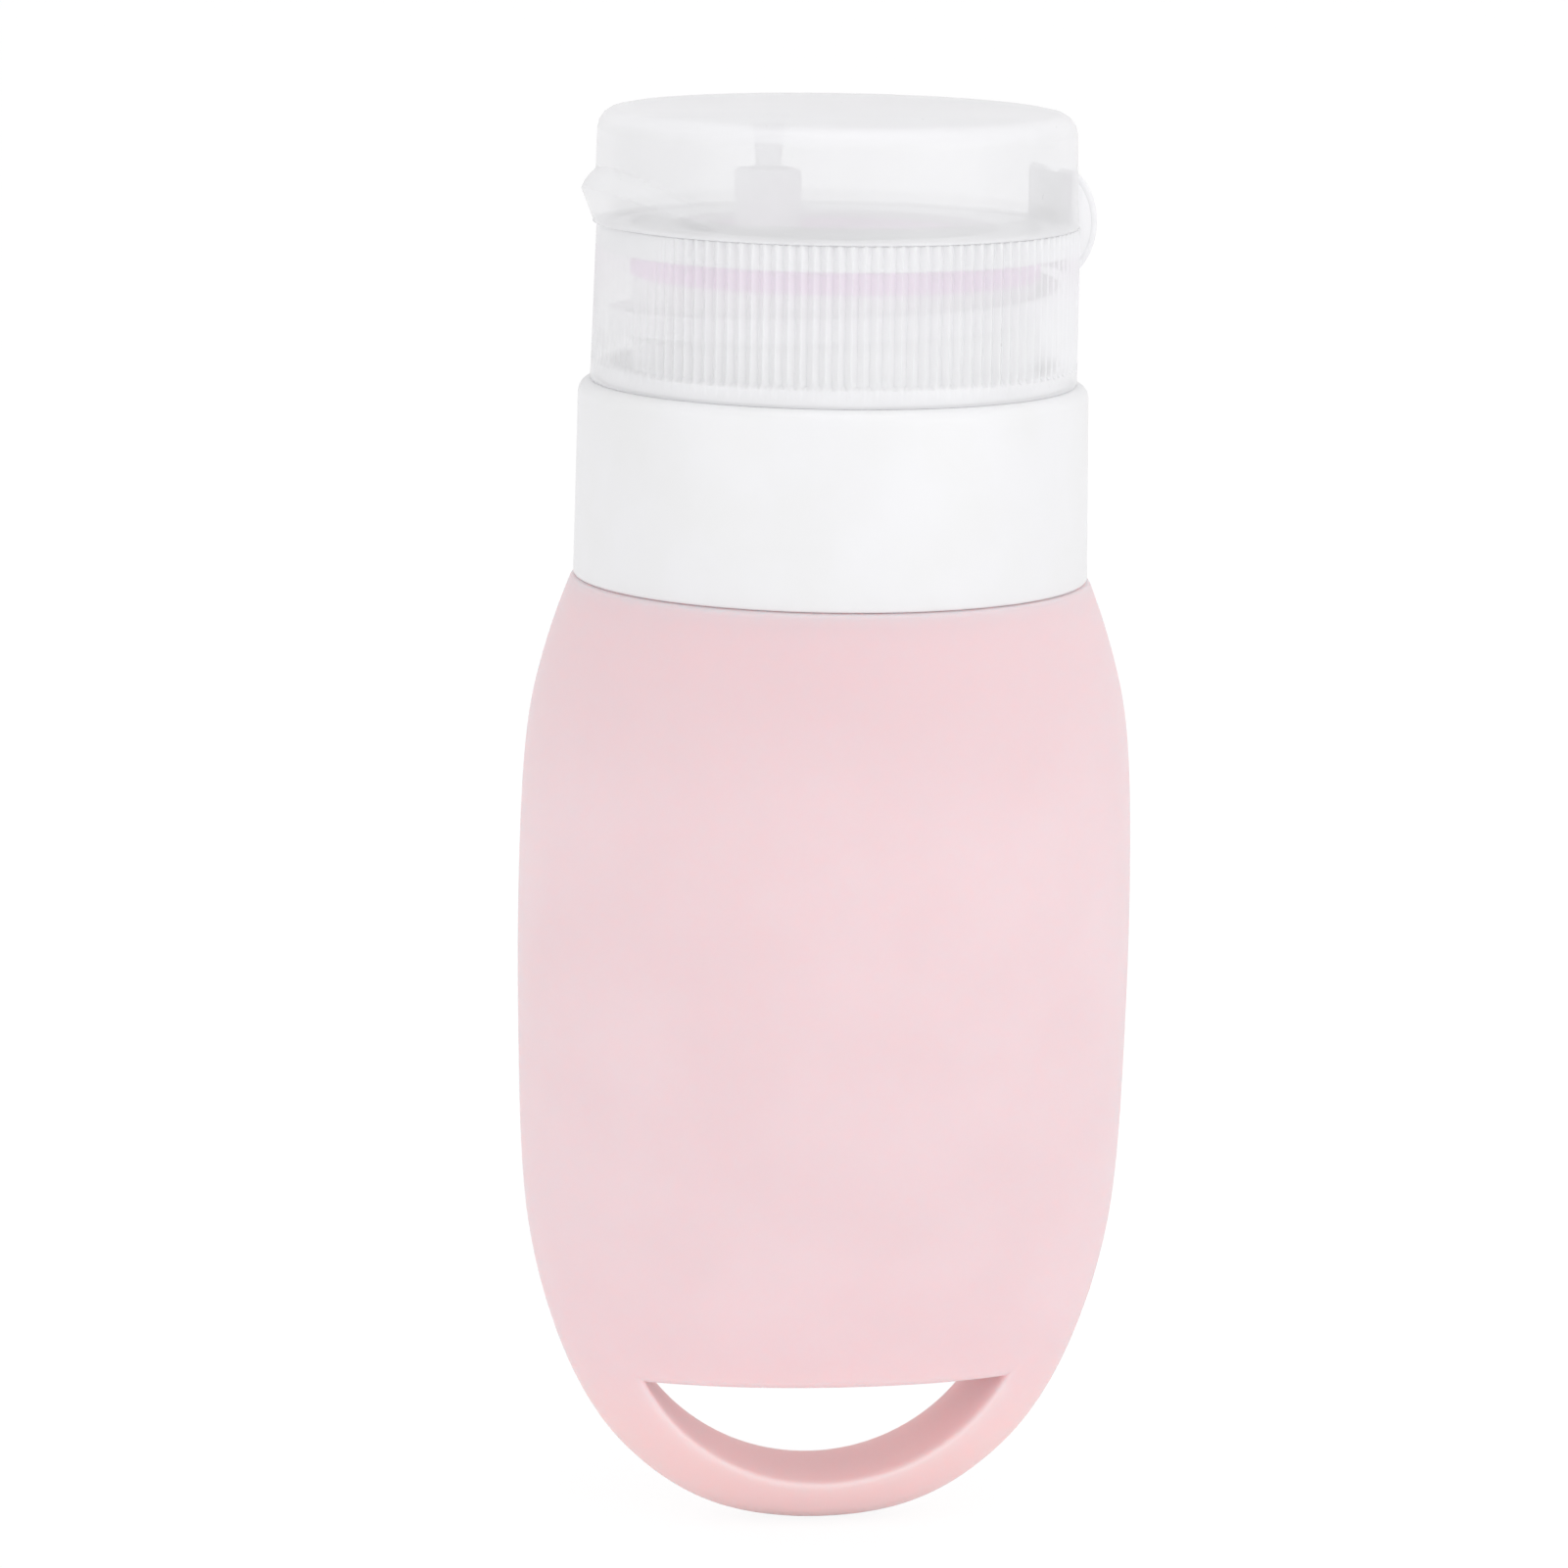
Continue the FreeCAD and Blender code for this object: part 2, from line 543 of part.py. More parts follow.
def cut_ribs(body):
    """Fine upright grooves round the skirt, from the smooth band up to the seam, all but the thumb panel."""
    sketch = new_sketch(body, "RibGroove", "XY_Plane")
    pitch = 360 / value("rib_count")
    clear = 2 * value("panel_foot_half_angle")
    grooves = int((360 - clear) / pitch)
    sketch.AttachmentOffset = FreeCAD.Placement(
        FreeCAD.Vector(0, 0, value("rib_foot")), FreeCAD.Rotation(FreeCAD.Vector(0, 0, 1), 0))
    bind(sketch, AttachmentOffset__Base__z=path("rib_foot"))
    sweep = (grooves - 1) * pitch
    bind(sketch, AttachmentOffset__Rotation__Angle=f"{-sweep / 2}")
    root = FreeCAD.Vector(value("rib_root_radius"), 0, 0)
    reach = value("rib_cut_radius") - value("rib_root_radius")
    flare = value("rib_groove_width") / 2 * reach / value("rib_depth")
    left = FreeCAD.Vector(value("rib_cut_radius"), flare, 0)
    right = FreeCAD.Vector(value("rib_cut_radius"), -flare, 0)
    for start, end in ((root, right), (right, left), (left, root)):
        sketch.addGeometry(Part.LineSegment(start, end))
    for index in range(3):
        sketch.addConstraint(Sketcher.Constraint("Coincident", index, 2, (index + 1) % 3, 1))
    pin_point(sketch, 0, 1, "rib_root_radius", None)
    sketch.addConstraint(Sketcher.Constraint("Symmetric", 1, 1, 1, 2, -1))
    far = sketch.addConstraint(Sketcher.Constraint("DistanceX", -1, 1, 1, 1, value("rib_cut_radius")))
    sketch.setExpression(f"Constraints[{far}]", path("rib_cut_radius"))
    mouth = sketch.addConstraint(Sketcher.Constraint("DistanceY", 1, 1, 1, 2, 2 * flare))
    sketch.setExpression(
        f"Constraints[{mouth}]",
        "Sizes.rib_groove_width * (Levels.rib_cut_radius - Levels.rib_root_radius) / Sizes.rib_depth")
    groove = body.newObject("PartDesign::Pocket", "RibCut")
    groove.Profile = sketch
    groove.Reversed = True
    bind(groove, Length="Levels.seam - Levels.rib_foot + Sizes.overrun")
    doc.recompute()
    pattern = body.newObject("PartDesign::PolarPattern", "RibCuts")
    pattern.Originals = [groove]
    pattern.Axis = (sketch, ["N_Axis"])
    pattern.Angle = sweep
    pattern.Occurrences = grooves
    body.Tip = pattern
    doc.recompute()
    return pattern


def hinge_ear(body, name, root, reach, level, end, below):
    """Half lobe in the straps' bow: rooted in the wall, level at the seam, with its arc below or above."""
    sketch = new_sketch(body, f"{name}Outline", "XZ_Plane")
    centre = FreeCAD.Vector(value("strap_bow_centre"), value("seam"), 0)
    inside = FreeCAD.Vector(value(root), value(level), 0)
    tip = FreeCAD.Vector(value(reach), value(level), 0)
    far = FreeCAD.Vector(value(root), value(end), 0)
    angles = sorted(math.atan2(point.y - centre.y, point.x - centre.x) for point in (tip, far))
    circle = Part.Circle(centre, FreeCAD.Vector(0, 0, 1), value("ear_radius"))
    sketch.addGeometry([
        Part.LineSegment(inside, tip),
        Part.ArcOfCircle(circle, *angles),
        Part.LineSegment(far, inside),
    ])
    tip_end, far_end = (2, 1) if below else (1, 2)
    sketch.addConstraint(Sketcher.Constraint("Coincident", 0, 2, 1, tip_end))
    sketch.addConstraint(Sketcher.Constraint("Coincident", 1, far_end, 2, 1))
    sketch.addConstraint(Sketcher.Constraint("Coincident", 2, 2, 0, 1))
    pin_point(sketch, 0, 1, root, level)
    pin_point(sketch, 0, 2, reach, level)
    pin_point(sketch, 2, 1, root, end)
    radius = sketch.addConstraint(Sketcher.Constraint("Radius", 1, value("ear_radius")))
    sketch.setExpression(f"Constraints[{radius}]", path("ear_radius"))
    ear = body.newObject("PartDesign::Pad", name)
    ear.Profile = sketch
    ear.Midplane = True
    bind(ear, Length=path("ear_width"))
    doc.recompute()
    return ear


def make_cap_base():
    """Screw cap: ribbed skirt, deck with a locating step, valve socket, spout, thumb panel and hinge ear."""
    body = new_body("cap_base")
    sketch = outline(body, "CapProfile", "XZ_Plane", (
        ("cap_bore_radius", "cap_foot"),
        ("cap_foot_radius", "cap_foot"),
        ("cap_radius", "cap_foot_shoulder"),
        ("cap_radius", "seam"),
        ("step_radius", "seam"),
        ("step_radius", "step_top"),
        ("step_inner_radius", "step_top"),
        ("step_inner_radius", "seam"),
        (None, "seam"),
        (None, "valve_top"),
        ("socket_radius", "valve_top"),
        ("socket_radius", "retainer_foot"),
        ("socket_outer_radius", "retainer_foot"),
        ("socket_outer_radius", "deck_under"),
        ("cap_bore_radius", "deck_under"),
    ))
    turned(body, "Revolution", "CapForm", sketch)
    cut_ribs(body)
    panel = outline(body, "PanelProfile", "XZ_Plane", (
        ("panel_foot_radius", "rib_foot"),
        ("panel_cut_radius", "rib_foot"),
        ("panel_cut_radius", "panel_cut_top"),
        ("panel_top_radius", "panel_cut_top"),
        ("panel_top_radius", "seam"),
    ))
    bind(panel, AttachmentOffset__Base__x=path("panel_axis_offset"))
    turned(body, "Groove", "ThumbPanel", panel)
    spout = outline(body, "SpoutProfile", "XZ_Plane", (
        (None, "valve_top"),
        ("spout_radius", "valve_top"),
        ("spout_radius", "spout_top"),
        (None, "spout_top"),
    ))
    bind(spout, AttachmentOffset__Base__x="-Sizes.spout_offset")
    post = turned(body, "Revolution", "SpoutPost", spout)
    round_edges(body, "SpoutRound", post, "spout_radius", "spout_top", "spout_round")
    bore = outline(body, "SpoutBoreProfile", "XZ_Plane", (
        (None, "valve_foot"),
        ("spout_bore_radius", "valve_foot"),
        ("spout_bore_radius", "lid_top"),
        (None, "lid_top"),
    ))
    bind(bore, AttachmentOffset__Base__x="-Sizes.spout_offset")
    turned(body, "Groove", "SpoutBore", bore)
    hinge_ear(body, "CapEar", "cap_ear_root", "cap_ear_reach", "seam", "cap_ear_foot", True)
    return turn_with_cap(body)


def make_slit_valve():
    """Silicone valve: a disc under the deck with a nipple in the spout, slit crosswise."""
    body = new_body("slit_valve")
    disc = outline(body, "ValveProfile", "XZ_Plane", (
        (None, "valve_foot"),
        ("valve_radius", "valve_foot"),
        ("valve_radius", "valve_top"),
        (None, "valve_top"),
    ))
    turned(body, "Revolution", "ValveDisc", disc)
    nipple = outline(body, "NippleProfile", "XZ_Plane", (
        (None, "valve_foot"),
        ("nipple_radius", "valve_foot"),
        ("nipple_radius", "nipple_top"),
        (None, "nipple_top"),
    ))
    bind(nipple, AttachmentOffset__Base__x="-Sizes.spout_offset")
    turned(body, "Revolution", "ValveNipple", nipple)
    slits = (("nipple_radius", "slit_width"), ("slit_width", "nipple_radius"))
    for number, (along, across) in enumerate(slits):
        slit = body.newObject("PartDesign::SubtractiveBox", f"ValveSlit{number}")
        bind(slit, Length=path(along), Width=path(across), Height="Levels.nipple_top - Levels.valve_foot")
        bind(slit, Placement__Base__x=f"-Sizes.spout_offset - {path(along)} / 2")
        bind(slit, Placement__Base__y=f"-{path(across)} / 2", Placement__Base__z=path("valve_foot"))
        doc.recompute()
    return turn_with_cap(body)


def make_valve_retainer():
    """Ring pressed into the socket that holds the valve up against the deck."""
    body = new_body("valve_retainer")
    sketch = outline(body, "RetainerProfile", "XZ_Plane", (
        ("retainer_bore_radius", "retainer_foot"),
        ("valve_radius", "retainer_foot"),
        ("valve_radius", "valve_foot"),
        ("retainer_bore_radius", "valve_foot"),
    ))
    turned(body, "Revolution", "RetainerRing", sketch)
    return turn_with_cap(body)


def thumb_lip(body):
    """Brow of the lid: a bead with a round top and a sloping underside, turned round a tilted axis."""
    sketch = new_sketch(body, "LipProfile", "XZ_Plane")
    sketch.AttachmentOffset = FreeCAD.Placement(
        FreeCAD.Vector(), FreeCAD.Rotation(FreeCAD.Vector(0, 0, 1), 0))
    bind(sketch, AttachmentOffset__Base__x="-Levels.lip_axis_offset")
    bind(sketch, AttachmentOffset__Base__y=path("lip_axis_height"))
    bind(sketch, AttachmentOffset__Rotation__Angle="-Sizes.lip_tilt")
    core_foot, wall_foot, crest, wall_top, core_top = (
        FreeCAD.Vector(value(across), 0 if up is None else value(up), 0) for across, up in LIP_CORNERS)
    radius = value("lip_round_radius")
    round_centre = FreeCAD.Vector(value("lip_radius") - radius, value("lip_fall"), 0)
    sweep = math.atan2(wall_top.y - round_centre.y, wall_top.x - round_centre.x)
    circle = Part.Circle(round_centre, FreeCAD.Vector(0, 0, 1), radius)
    sketch.addGeometry([
        Part.LineSegment(core_foot, wall_foot),
        Part.LineSegment(wall_foot, crest),
        Part.ArcOfCircle(circle, 0, sweep),
        Part.LineSegment(wall_top, core_top),
        Part.LineSegment(core_top, core_foot),
    ])
    count = len(LIP_CORNERS)
    for index in range(count):
        sketch.addConstraint(Sketcher.Constraint("Coincident", index, 2, (index + 1) % count, 1))
    for index, (across, up) in enumerate(LIP_CORNERS):
        pin_point(sketch, index, 1, across, up)
    arc = sketch.addConstraint(Sketcher.Constraint("Radius", 2, radius))
    sketch.setExpression(f"Constraints[{arc}]", path("lip_round_radius"))
    return turned(body, "Revolution", "ThumbLip", sketch)


def make_flip_lid():
    """Flip lid: a shallow tapered cup with a plug pin, and a thumb lip opposite the hinge's ear."""
    body = new_body("flip_lid")
    cup = outline(body, "LidProfile", "XZ_Plane", (
        (None, "lid_foot"),
        ("lid_base_radius", "lid_foot"),
        ("lid_top_radius", "lid_top"),
        (None, "lid_top"),
    ))
    form = turned(body, "Revolution", "LidForm", cup)
    round_edges(body, "LidTopRound", form, "lid_top_radius", "lid_top", "lid_round")
    thumb_lip(body)
    hollow = outline(body, "LidHollowProfile", "XZ_Plane", (
        (None, "lid_cut_foot"),
        ("lid_cut_radius", "lid_cut_foot"),
        ("lid_cut_radius", "lid_foot"),
        ("lid_bore_radius", "lid_foot"),
        ("lid_bore_top_radius", "lid_ceiling_under"),
        (None, "lid_ceiling_under"),
    ))
    turned(body, "Groove", "LidHollow", hollow)
    pin = outline(body, "PinProfile", "XZ_Plane", (
        (None, "pin_foot"),
        ("pin_tip_radius", "pin_foot"),
        ("pin_root_radius", "lid_ceiling_under"),
        ("pin_root_radius", "lid_top"),
        (None, "lid_top"),
    ))
    bind(pin, AttachmentOffset__Base__x="-Sizes.spout_offset")
    turned(body, "Revolution", "PlugPin", pin)
    hinge_ear(body, "LidEar", "lid_ear_root", "lid_ear_reach", "lid_foot", "lid_ear_top", False)
    return turn_with_cap(body)


def make_hinge_strap(label, plane_offset):
    """Bowed strap seated on the cap's wall, reaching up beside the lid and bulging outwards at the seam."""
    body = new_body(label)
    sketch = new_sketch(body, f"{label}_bow", "XZ_Plane")
    bind(sketch, AttachmentOffset__Base__z=plane_offset)
    centre = FreeCAD.Vector(value("strap_bow_centre"), value("seam"), 0)
    for index, alias in enumerate(("strap_bow_radius", "strap_bow_inner_radius")):
        sketch.addGeometry(Part.Circle(centre, FreeCAD.Vector(0, 0, 1), value(alias)))
        pin_point(sketch, index, 3, "strap_bow_centre", "seam")
        radius = sketch.addConstraint(Sketcher.Constraint("Radius", index, value(alias)))
        sketch.setExpression(f"Constraints[{radius}]", path(alias))
    pad = body.newObject("PartDesign::Pad", f"{label}_band")
    pad.Profile = sketch
    bind(pad, Length=path("strap_width"))
    doc.recompute()
    wall = outline(body, f"{label}_seat", "XZ_Plane", (
        (None, "strap_cut_foot"),
        ("cap_radius", "strap_cut_foot"),
        ("cap_radius", "strap_cut_top"),
        (None, "strap_cut_top"),
    ))
    turned(body, "Groove", f"{label}_trim", wall)
    return turn_with_cap(body)


def make_hinge_strap_left():
    """Strap on the left of the hinge, seen from behind it."""
    return make_hinge_strap("hinge_strap_left", "Levels.strap_half_gap")


def make_hinge_strap_right():
    """Strap on the right of the hinge, seen from behind it."""
    return make_hinge_strap("hinge_strap_right", "-Levels.strap_half_gap - Sizes.strap_width")


makers = (
    make_bottle_body, make_neck_insert, make_collar, make_seal_gasket, make_cap_base,
    make_slit_valve, make_valve_retainer, make_flip_lid, make_hinge_strap_left, make_hinge_strap_right,
)
sub_parts = [make() for make in makers]
doc.recompute()

for thing in doc.Objects:
    if "Invalid" in thing.State or "Error" in thing.State:
        raise RuntimeError(f"{thing.Label} did not build: {thing.State}")
for sub_part in sub_parts:
    if sub_part.Shape.isNull() or not sub_part.Shape.isValid():
        raise RuntimeError(f"{sub_part.Label} has no valid shape")

os.makedirs("parts", exist_ok=True)
for sub_part in sub_parts:
    sub_part.Shape.exportStep(f"parts/{sub_part.Label}.step")
    box = sub_part.Shape.BoundBox
    print(f"{sub_part.Label}: {sub_part.Shape.Volume:.1f} mm3, {len(sub_part.Shape.Solids)} solid, "
          f"x {box.XMin:.2f} {box.XMax:.2f} y {box.YMin:.2f} {box.YMax:.2f} z {box.ZMin:.2f} {box.ZMax:.2f}")
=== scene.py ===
"""Travel squeeze bottle: silicone body, white collar and milky flip-top cap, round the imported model."""
import bmesh
import bpy
import math
from mathutils import Matrix, Vector


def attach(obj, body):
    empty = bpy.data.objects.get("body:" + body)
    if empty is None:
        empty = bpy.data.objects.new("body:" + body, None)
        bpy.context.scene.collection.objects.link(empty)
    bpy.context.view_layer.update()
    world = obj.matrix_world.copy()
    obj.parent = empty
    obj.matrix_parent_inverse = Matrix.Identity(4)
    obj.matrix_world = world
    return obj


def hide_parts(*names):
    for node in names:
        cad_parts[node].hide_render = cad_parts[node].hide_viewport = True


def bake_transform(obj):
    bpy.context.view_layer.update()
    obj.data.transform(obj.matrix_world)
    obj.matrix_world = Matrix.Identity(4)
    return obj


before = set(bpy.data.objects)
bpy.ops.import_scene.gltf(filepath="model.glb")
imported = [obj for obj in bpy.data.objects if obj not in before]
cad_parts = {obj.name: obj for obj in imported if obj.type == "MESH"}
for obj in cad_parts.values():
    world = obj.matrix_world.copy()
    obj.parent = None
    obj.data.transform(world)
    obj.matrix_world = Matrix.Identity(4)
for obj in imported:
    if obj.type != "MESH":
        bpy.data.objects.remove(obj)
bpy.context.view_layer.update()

MM = 0.001
TURN = 2 * math.pi

# Heights in millimetres: the solids', but for the collar's top, the feet of cap and ribs, and the lid's foot,
# which are drawn where the photograph shows them, with the gaps under the cap and at the seam closed
LEDGE = 63.0
SLEEVE_TOP = 73.8
FLANGE_TOP = 75.0
COLLAR_TOP = 75.62
CAP_FOOT = 75.63
CAP_FOOT_CHAMFER_TOP = 75.9
RIB_FOOT = 76.75
PANEL_FOOT = 77.5
NECK_RIM = 82.87
RETAINER_FOOT = 83.07
VALVE_FOOT = 84.07
DECK_UNDER = 84.67
VALVE_TOP = 85.27
SEAM = 85.77
LID_FOOT = 85.78
STEP_TOP = 86.67
NIPPLE_TOP = 87.17
PIN_FOOT = 87.97
SPOUT_TOP = 89.37
LID_CEILING = 91.9
LID_TOP = 93.0

# Body stations: height, half width, half depth
BODY_STATIONS = (
    (0.0, 0.0, 0.0),
    (0.9, 6.50, 2.62),
    (3.0, 10.42, 4.10),
    (7.0, 14.38, 6.02),
    (13.0, 17.36, 8.26),
    (21.0, 19.38, 10.92),
    (33.0, 19.98, 14.02),
    (45.0, 20.00, 16.17),
    (54.0, 19.46, 17.11),
    (59.5, 18.06, 17.17),
    (63.0, 16.75, 16.75),
)
BODY_COLUMNS = 48
BODY_HALF = BODY_COLUMNS // 2
BODY_SMOOTHING = 2
ALL_SMOOTH_DEGREES = 180
SILICONE_WALL = 1.8
# Loop round the crescent slot
LOOP_RINGS = 7
LOOP_TOP = 15.75
LOOP_WALL_SHARES = (0.14, 0.5, 0.86, 1.0)
LOOP_CROWDING_POWER = 4
OUTLINE_STEPS = 400
SLOT_HALF_WIDTH = 11.8
SLOT_CEILING = 10.5
SLOT_DROP = 7.2
# Levels of the body's outside, from the loop to just under the ledge
OUTSIDE_LEVELS = (18, 21, 24.5, 28.5, 33, 37, 41, 45, 49, 52, 55, 57.5, 59.5, 61, 62.1)
# Ledge and sleeve
LEDGE_ROUND = 0.3
LEDGE_SIDE = 16.88
LEDGE_RADIUS = 16.72
LEDGE_MIDDLE = 16.0
SLEEVE_RADIUS = 15.05
SLEEVE_FILLET = 0.1
SLEEVE_FILLET_RISE = 0.2
SLEEVE_MIDDLE = 68.0
SLEEVE_EDGE = 0.25
SLEEVE_EDGE_DROP = 0.3
MOUTH_RADIUS = 13.05
MOUTH_FOOT = 62.0
# Where the mouth opens into the hollow: height, radius
MOUTH_FLARE = ((61.2, 13.2), (59.3, 14.75))
# Levels of the hollow, then the stations of its floor: height, half width, half depth
HOLLOW_LEVELS = (57.0, 54, 49.5, 45, 39, 33, 27, 21)
HOLLOW_FLOOR = ((17.0, 16.2, 7.0), (14.8, 15.2, 5.5), (13.4, 13.4, 4.2), (13.0, 11.4, 3.2), (13.0, 6.0, 1.2))

# Collar
COLLAR_BORE = 15.1
COLLAR_FOOT_RADIUS = 16.6
COLLAR_TOP_RADIUS = 16.4
COLLAR_SHOULDER = 0.8
COLLAR_LIP_BORE = 13.3
COLLAR_EDGE = 0.2

# Neck and its thread
NECK_BORE = 11.3
NECK_RADIUS = 13.0
NECK_EDGE = 0.2
BARB_FOOT = 59.4
BARB_TOP = 60.4
BARB_RADIUS = 13.7
FLANGE_RADIUS = 14.6
FLANGE_EDGE = 0.15
RIM_CHAMFER = 0.4
THREAD_PITCH = 3.6
THREAD_TURNS = 1.35
THREAD_STEPS = 96
THREAD_SINK = 0.2
THREAD_HALF_ROOT = 0.75
THREAD_HALF_CREST = 0.35
NECK_THREAD_REACH = 0.8
NECK_THREAD_FOOT = 77.2
CAP_THREAD_REACH = -0.75
CAP_THREAD_FOOT = 77.9

# Seals, a hair short of the deck that presses on them
SEAT_GAP = 0.03
SEAL_BORE = 10.5
SEAL_RADIUS = 13.15
SEAL_EDGE = 0.25
SEAL_SLACK = 0.05
VALVE_RADIUS = 9.5
VALVE_EDGE = 0.2
NIPPLE_RADIUS = 1.1
NIPPLE_BORE = 0.1
NIPPLE_SINK = 0.2
NIPPLE_CHAMFER = 0.25
SLIT_ANGLE = math.radians(10)
LOBE_COUNT = 4
LOBE_STEPS = 8

# Screw cap
CAP_TURN = math.radians(14)
CAP_RADIUS = 15.65
CAP_BORE = 14.25
CAP_BORE_EDGE = 0.2
CAP_FOOT_RADIUS = 15.6
CAP_FOOT_EDGE = 0.04
SEAM_CHAMFER = 0.06
STEP_RADIUS = 14.2
STEP_BORE = 13.2
STEP_EDGE = 0.15
SOCKET_BORE = 9.6
SOCKET_RADIUS = 10.3
SPOUT_OFFSET = 4.7
SPOUT_BORE = 1.2
SPOUT_BORE_EDGE = 0.15
SPOUT_RADIUS = 2.15
SPOUT_EDGE = 0.4
SPOUT_SINK = 0.2
RIB_COUNT = 124
RIB_COLUMNS = 6
RIB_DEPTH = 0.3
RIB_RUN_OUT = 0.3
PANEL_DEPTH = 0.5
PANEL_TOP_ANGLE = math.radians(36)
PANEL_FOOT_ANGLE = math.radians(25)
WALL_ROWS = 12
# White cores of the thick deck and of the skirt's foot, just under the skin: the deck's is the thick
# plastic's own white, and where it drops below the deck and at the foot it is painted light that hides the
# shaded cavity behind the skin
CORE_COVER = 0.1
CORE_EDGE = 0.1
DECK_CORE_BORE = 10.5
DECK_CORE_STEP = 13.3
DECK_CORE_DROP = 0.6
DECK_CORE_RADIUS = 15.1
FOOT_CORE_RADIUS = 15.15

# Flip lid
LID_FOOT_RADIUS = 15.55
LID_TOP_RADIUS = 15.30
LID_BORE = 14.45
LID_BORE_TOP = 14.20
LID_CEILING_ROUND = 0.5
LID_FOOT_EDGE = 0.1
LID_TOP_ROUND = 1.3
LID_SHOULDER_DROP = 1.4
LID_COLUMNS = 360
LID_ROWS = 34
LIP_REACH = 0.95
LIP_HALF_ANGLE = math.radians(41)
LIP_CREST = 88.17
LIP_RISE = 1.95
LIP_FALL = 1.95
LIP_TILT = math.radians(20)
LIP_MARGIN_ANGLE = 0.1
LIP_HALVINGS = 24
PIN_RADIUS = 1.0
PIN_TIP_RADIUS = 0.7
PIN_TIP_EDGE = 0.2
PIN_SINK = 0.3

# Hinge
HINGE_RADIUS = 16.70
STRAP_BOW = 4.393
STRAP_THICKNESS = 0.5
STRAP_WIDTH = 2.6
STRAP_MIDDLE = 2.3
STRAP_EDGE = 0.12
STRAP_REACH = math.radians(50)
STRAP_STEPS = 32
BOW_CENTRE = HINGE_RADIUS - STRAP_BOW
EAR_OVERLAP = 0.1
EAR_RADIUS = STRAP_BOW - STRAP_THICKNESS + EAR_OVERLAP
EAR_WIDTH = 7.2
EAR_BITE = 0.55
EAR_EDGE = 0.15
EAR_STEPS = 12

# How finely the pieces are turned and rounded
SHARP_DEGREES = 32
CORNER_SEGMENTS = 4
EDGE_SEGMENTS = 2
MERGE_DISTANCE = 0.0005
LARGE_RING_STEPS = 128
SEAL_STEPS = 96
SPOUT_STEPS = 48
PIN_STEPS = 32
# Margins for picking points and faces
POINT_MARGIN = 0.01
WALL_MARGIN = 0.02
FACE_MARGIN = 0.05
CHEEK_FACING_SHARE = 0.9

# Places of the finishes in a piece's list: the skin, then the milky plastic's inner faces and thick pieces
SKIN = 0
CLEAR = 1
THICK = 2


def linear(code):
    """Linear colour of an sRGB hex code, by the standard curve."""
    shares = [int(code[place:place + 2], 16) / 255 for place in (0, 2, 4)]
    return [
        share / 12.92 if share <= 0.04045 else ((share + 0.055) / 1.055) ** 2.4
        for share in shares] + [1.0]


def add(tree, kind, settings=None, links=None):
    """Node with its settings and the sockets that feed it."""
    node = tree.nodes.new(kind)
    for name, value in (settings or {}).items():
        if isinstance(name, int) or name in node.inputs:
            node.inputs[name].default_value = value
        else:
            setattr(node, name, value)
    for name, socket in (links or {}).items():
        tree.links.new(socket, node.inputs[name])
    return node


def new_material(name):
    """Empty material with its tree, its output and the object coordinates."""
    material = bpy.data.materials.new(name)
    material.use_nodes = True
    tree = material.node_tree
    tree.nodes.clear()
    output = add(tree, "ShaderNodeOutputMaterial")
    place = add(tree, "ShaderNodeTexCoord").outputs["Object"]
    return material, tree, output, place


def make_piece(bm, name, materials, sharp_degrees=SHARP_DEGREES):
    """Mesh object at the origin from a finished bmesh in millimetres, smooth but for its sharp edges."""
    bmesh.ops.scale(bm, vec=(MM, MM, MM), verts=bm.verts)
    mesh = bpy.data.meshes.new(name)
    bm.to_mesh(mesh)
    bm.free()
    mesh.shade_smooth()
    mesh.set_sharp_from_angle(angle=math.radians(sharp_degrees))
    for material in materials:
        mesh.materials.append(material)
    piece = bpy.data.objects.new(name, mesh)
    bpy.context.scene.collection.objects.link(piece)
    return piece


def seat(piece, body, node):
    """The piece rides on a body and stands for a node, which is hidden."""
    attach(piece, body)
    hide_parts(node)


def spun(corners, steps, offset=0.0):
    """Closed outline of (radius, height, round) corners turned once about an upright axis."""
    bm = bmesh.new()
    points = [bm.verts.new((radius, 0, height)) for radius, height, _ in corners]
    for index, point in enumerate(points):
        bm.edges.new((point, points[(index + 1) % len(points)]))
    for point, (_, _, size) in zip(points, corners):
        if size:
            bmesh.ops.bevel(
                bm, geom=[point], offset=size, offset_type="OFFSET", affect="VERTICES",
                segments=CORNER_SEGMENTS, profile=0.5, material=-1)
    bmesh.ops.spin(
        bm, geom=bm.verts[:] + bm.edges[:], cent=(0, 0, 0), axis=(0, 0, 1), angle=TURN,
        steps=steps, use_merge=True)
    bmesh.ops.remove_doubles(bm, verts=bm.verts, dist=MERGE_DISTANCE)
    bmesh.ops.recalc_face_normals(bm, faces=bm.faces)
    bmesh.ops.translate(bm, vec=(offset, 0, 0), verts=bm.verts)
    return bm


def turn_with_cap(bm):
    """Turn a cap piece from the body's wide way to the hinge's side."""
    bmesh.ops.rotate(bm, cent=(0, 0, 0), matrix=Matrix.Rotation(CAP_TURN, 3, "Z"), verts=bm.verts)


def join(bm, extra, finish=SKIN):
    """Add another bmesh's shell to a piece, all in one of its finishes."""
    for face in extra.faces:
        face.material_index = finish
    mesh = bpy.data.meshes.new("shell")
    extra.to_mesh(mesh)
    extra.free()
    bm.from_mesh(mesh)
    bpy.data.meshes.remove(mesh)


def points_of(made):
    """Vertices among the things an operator made."""
    return [item for item in made if isinstance(item, bmesh.types.BMVert)]


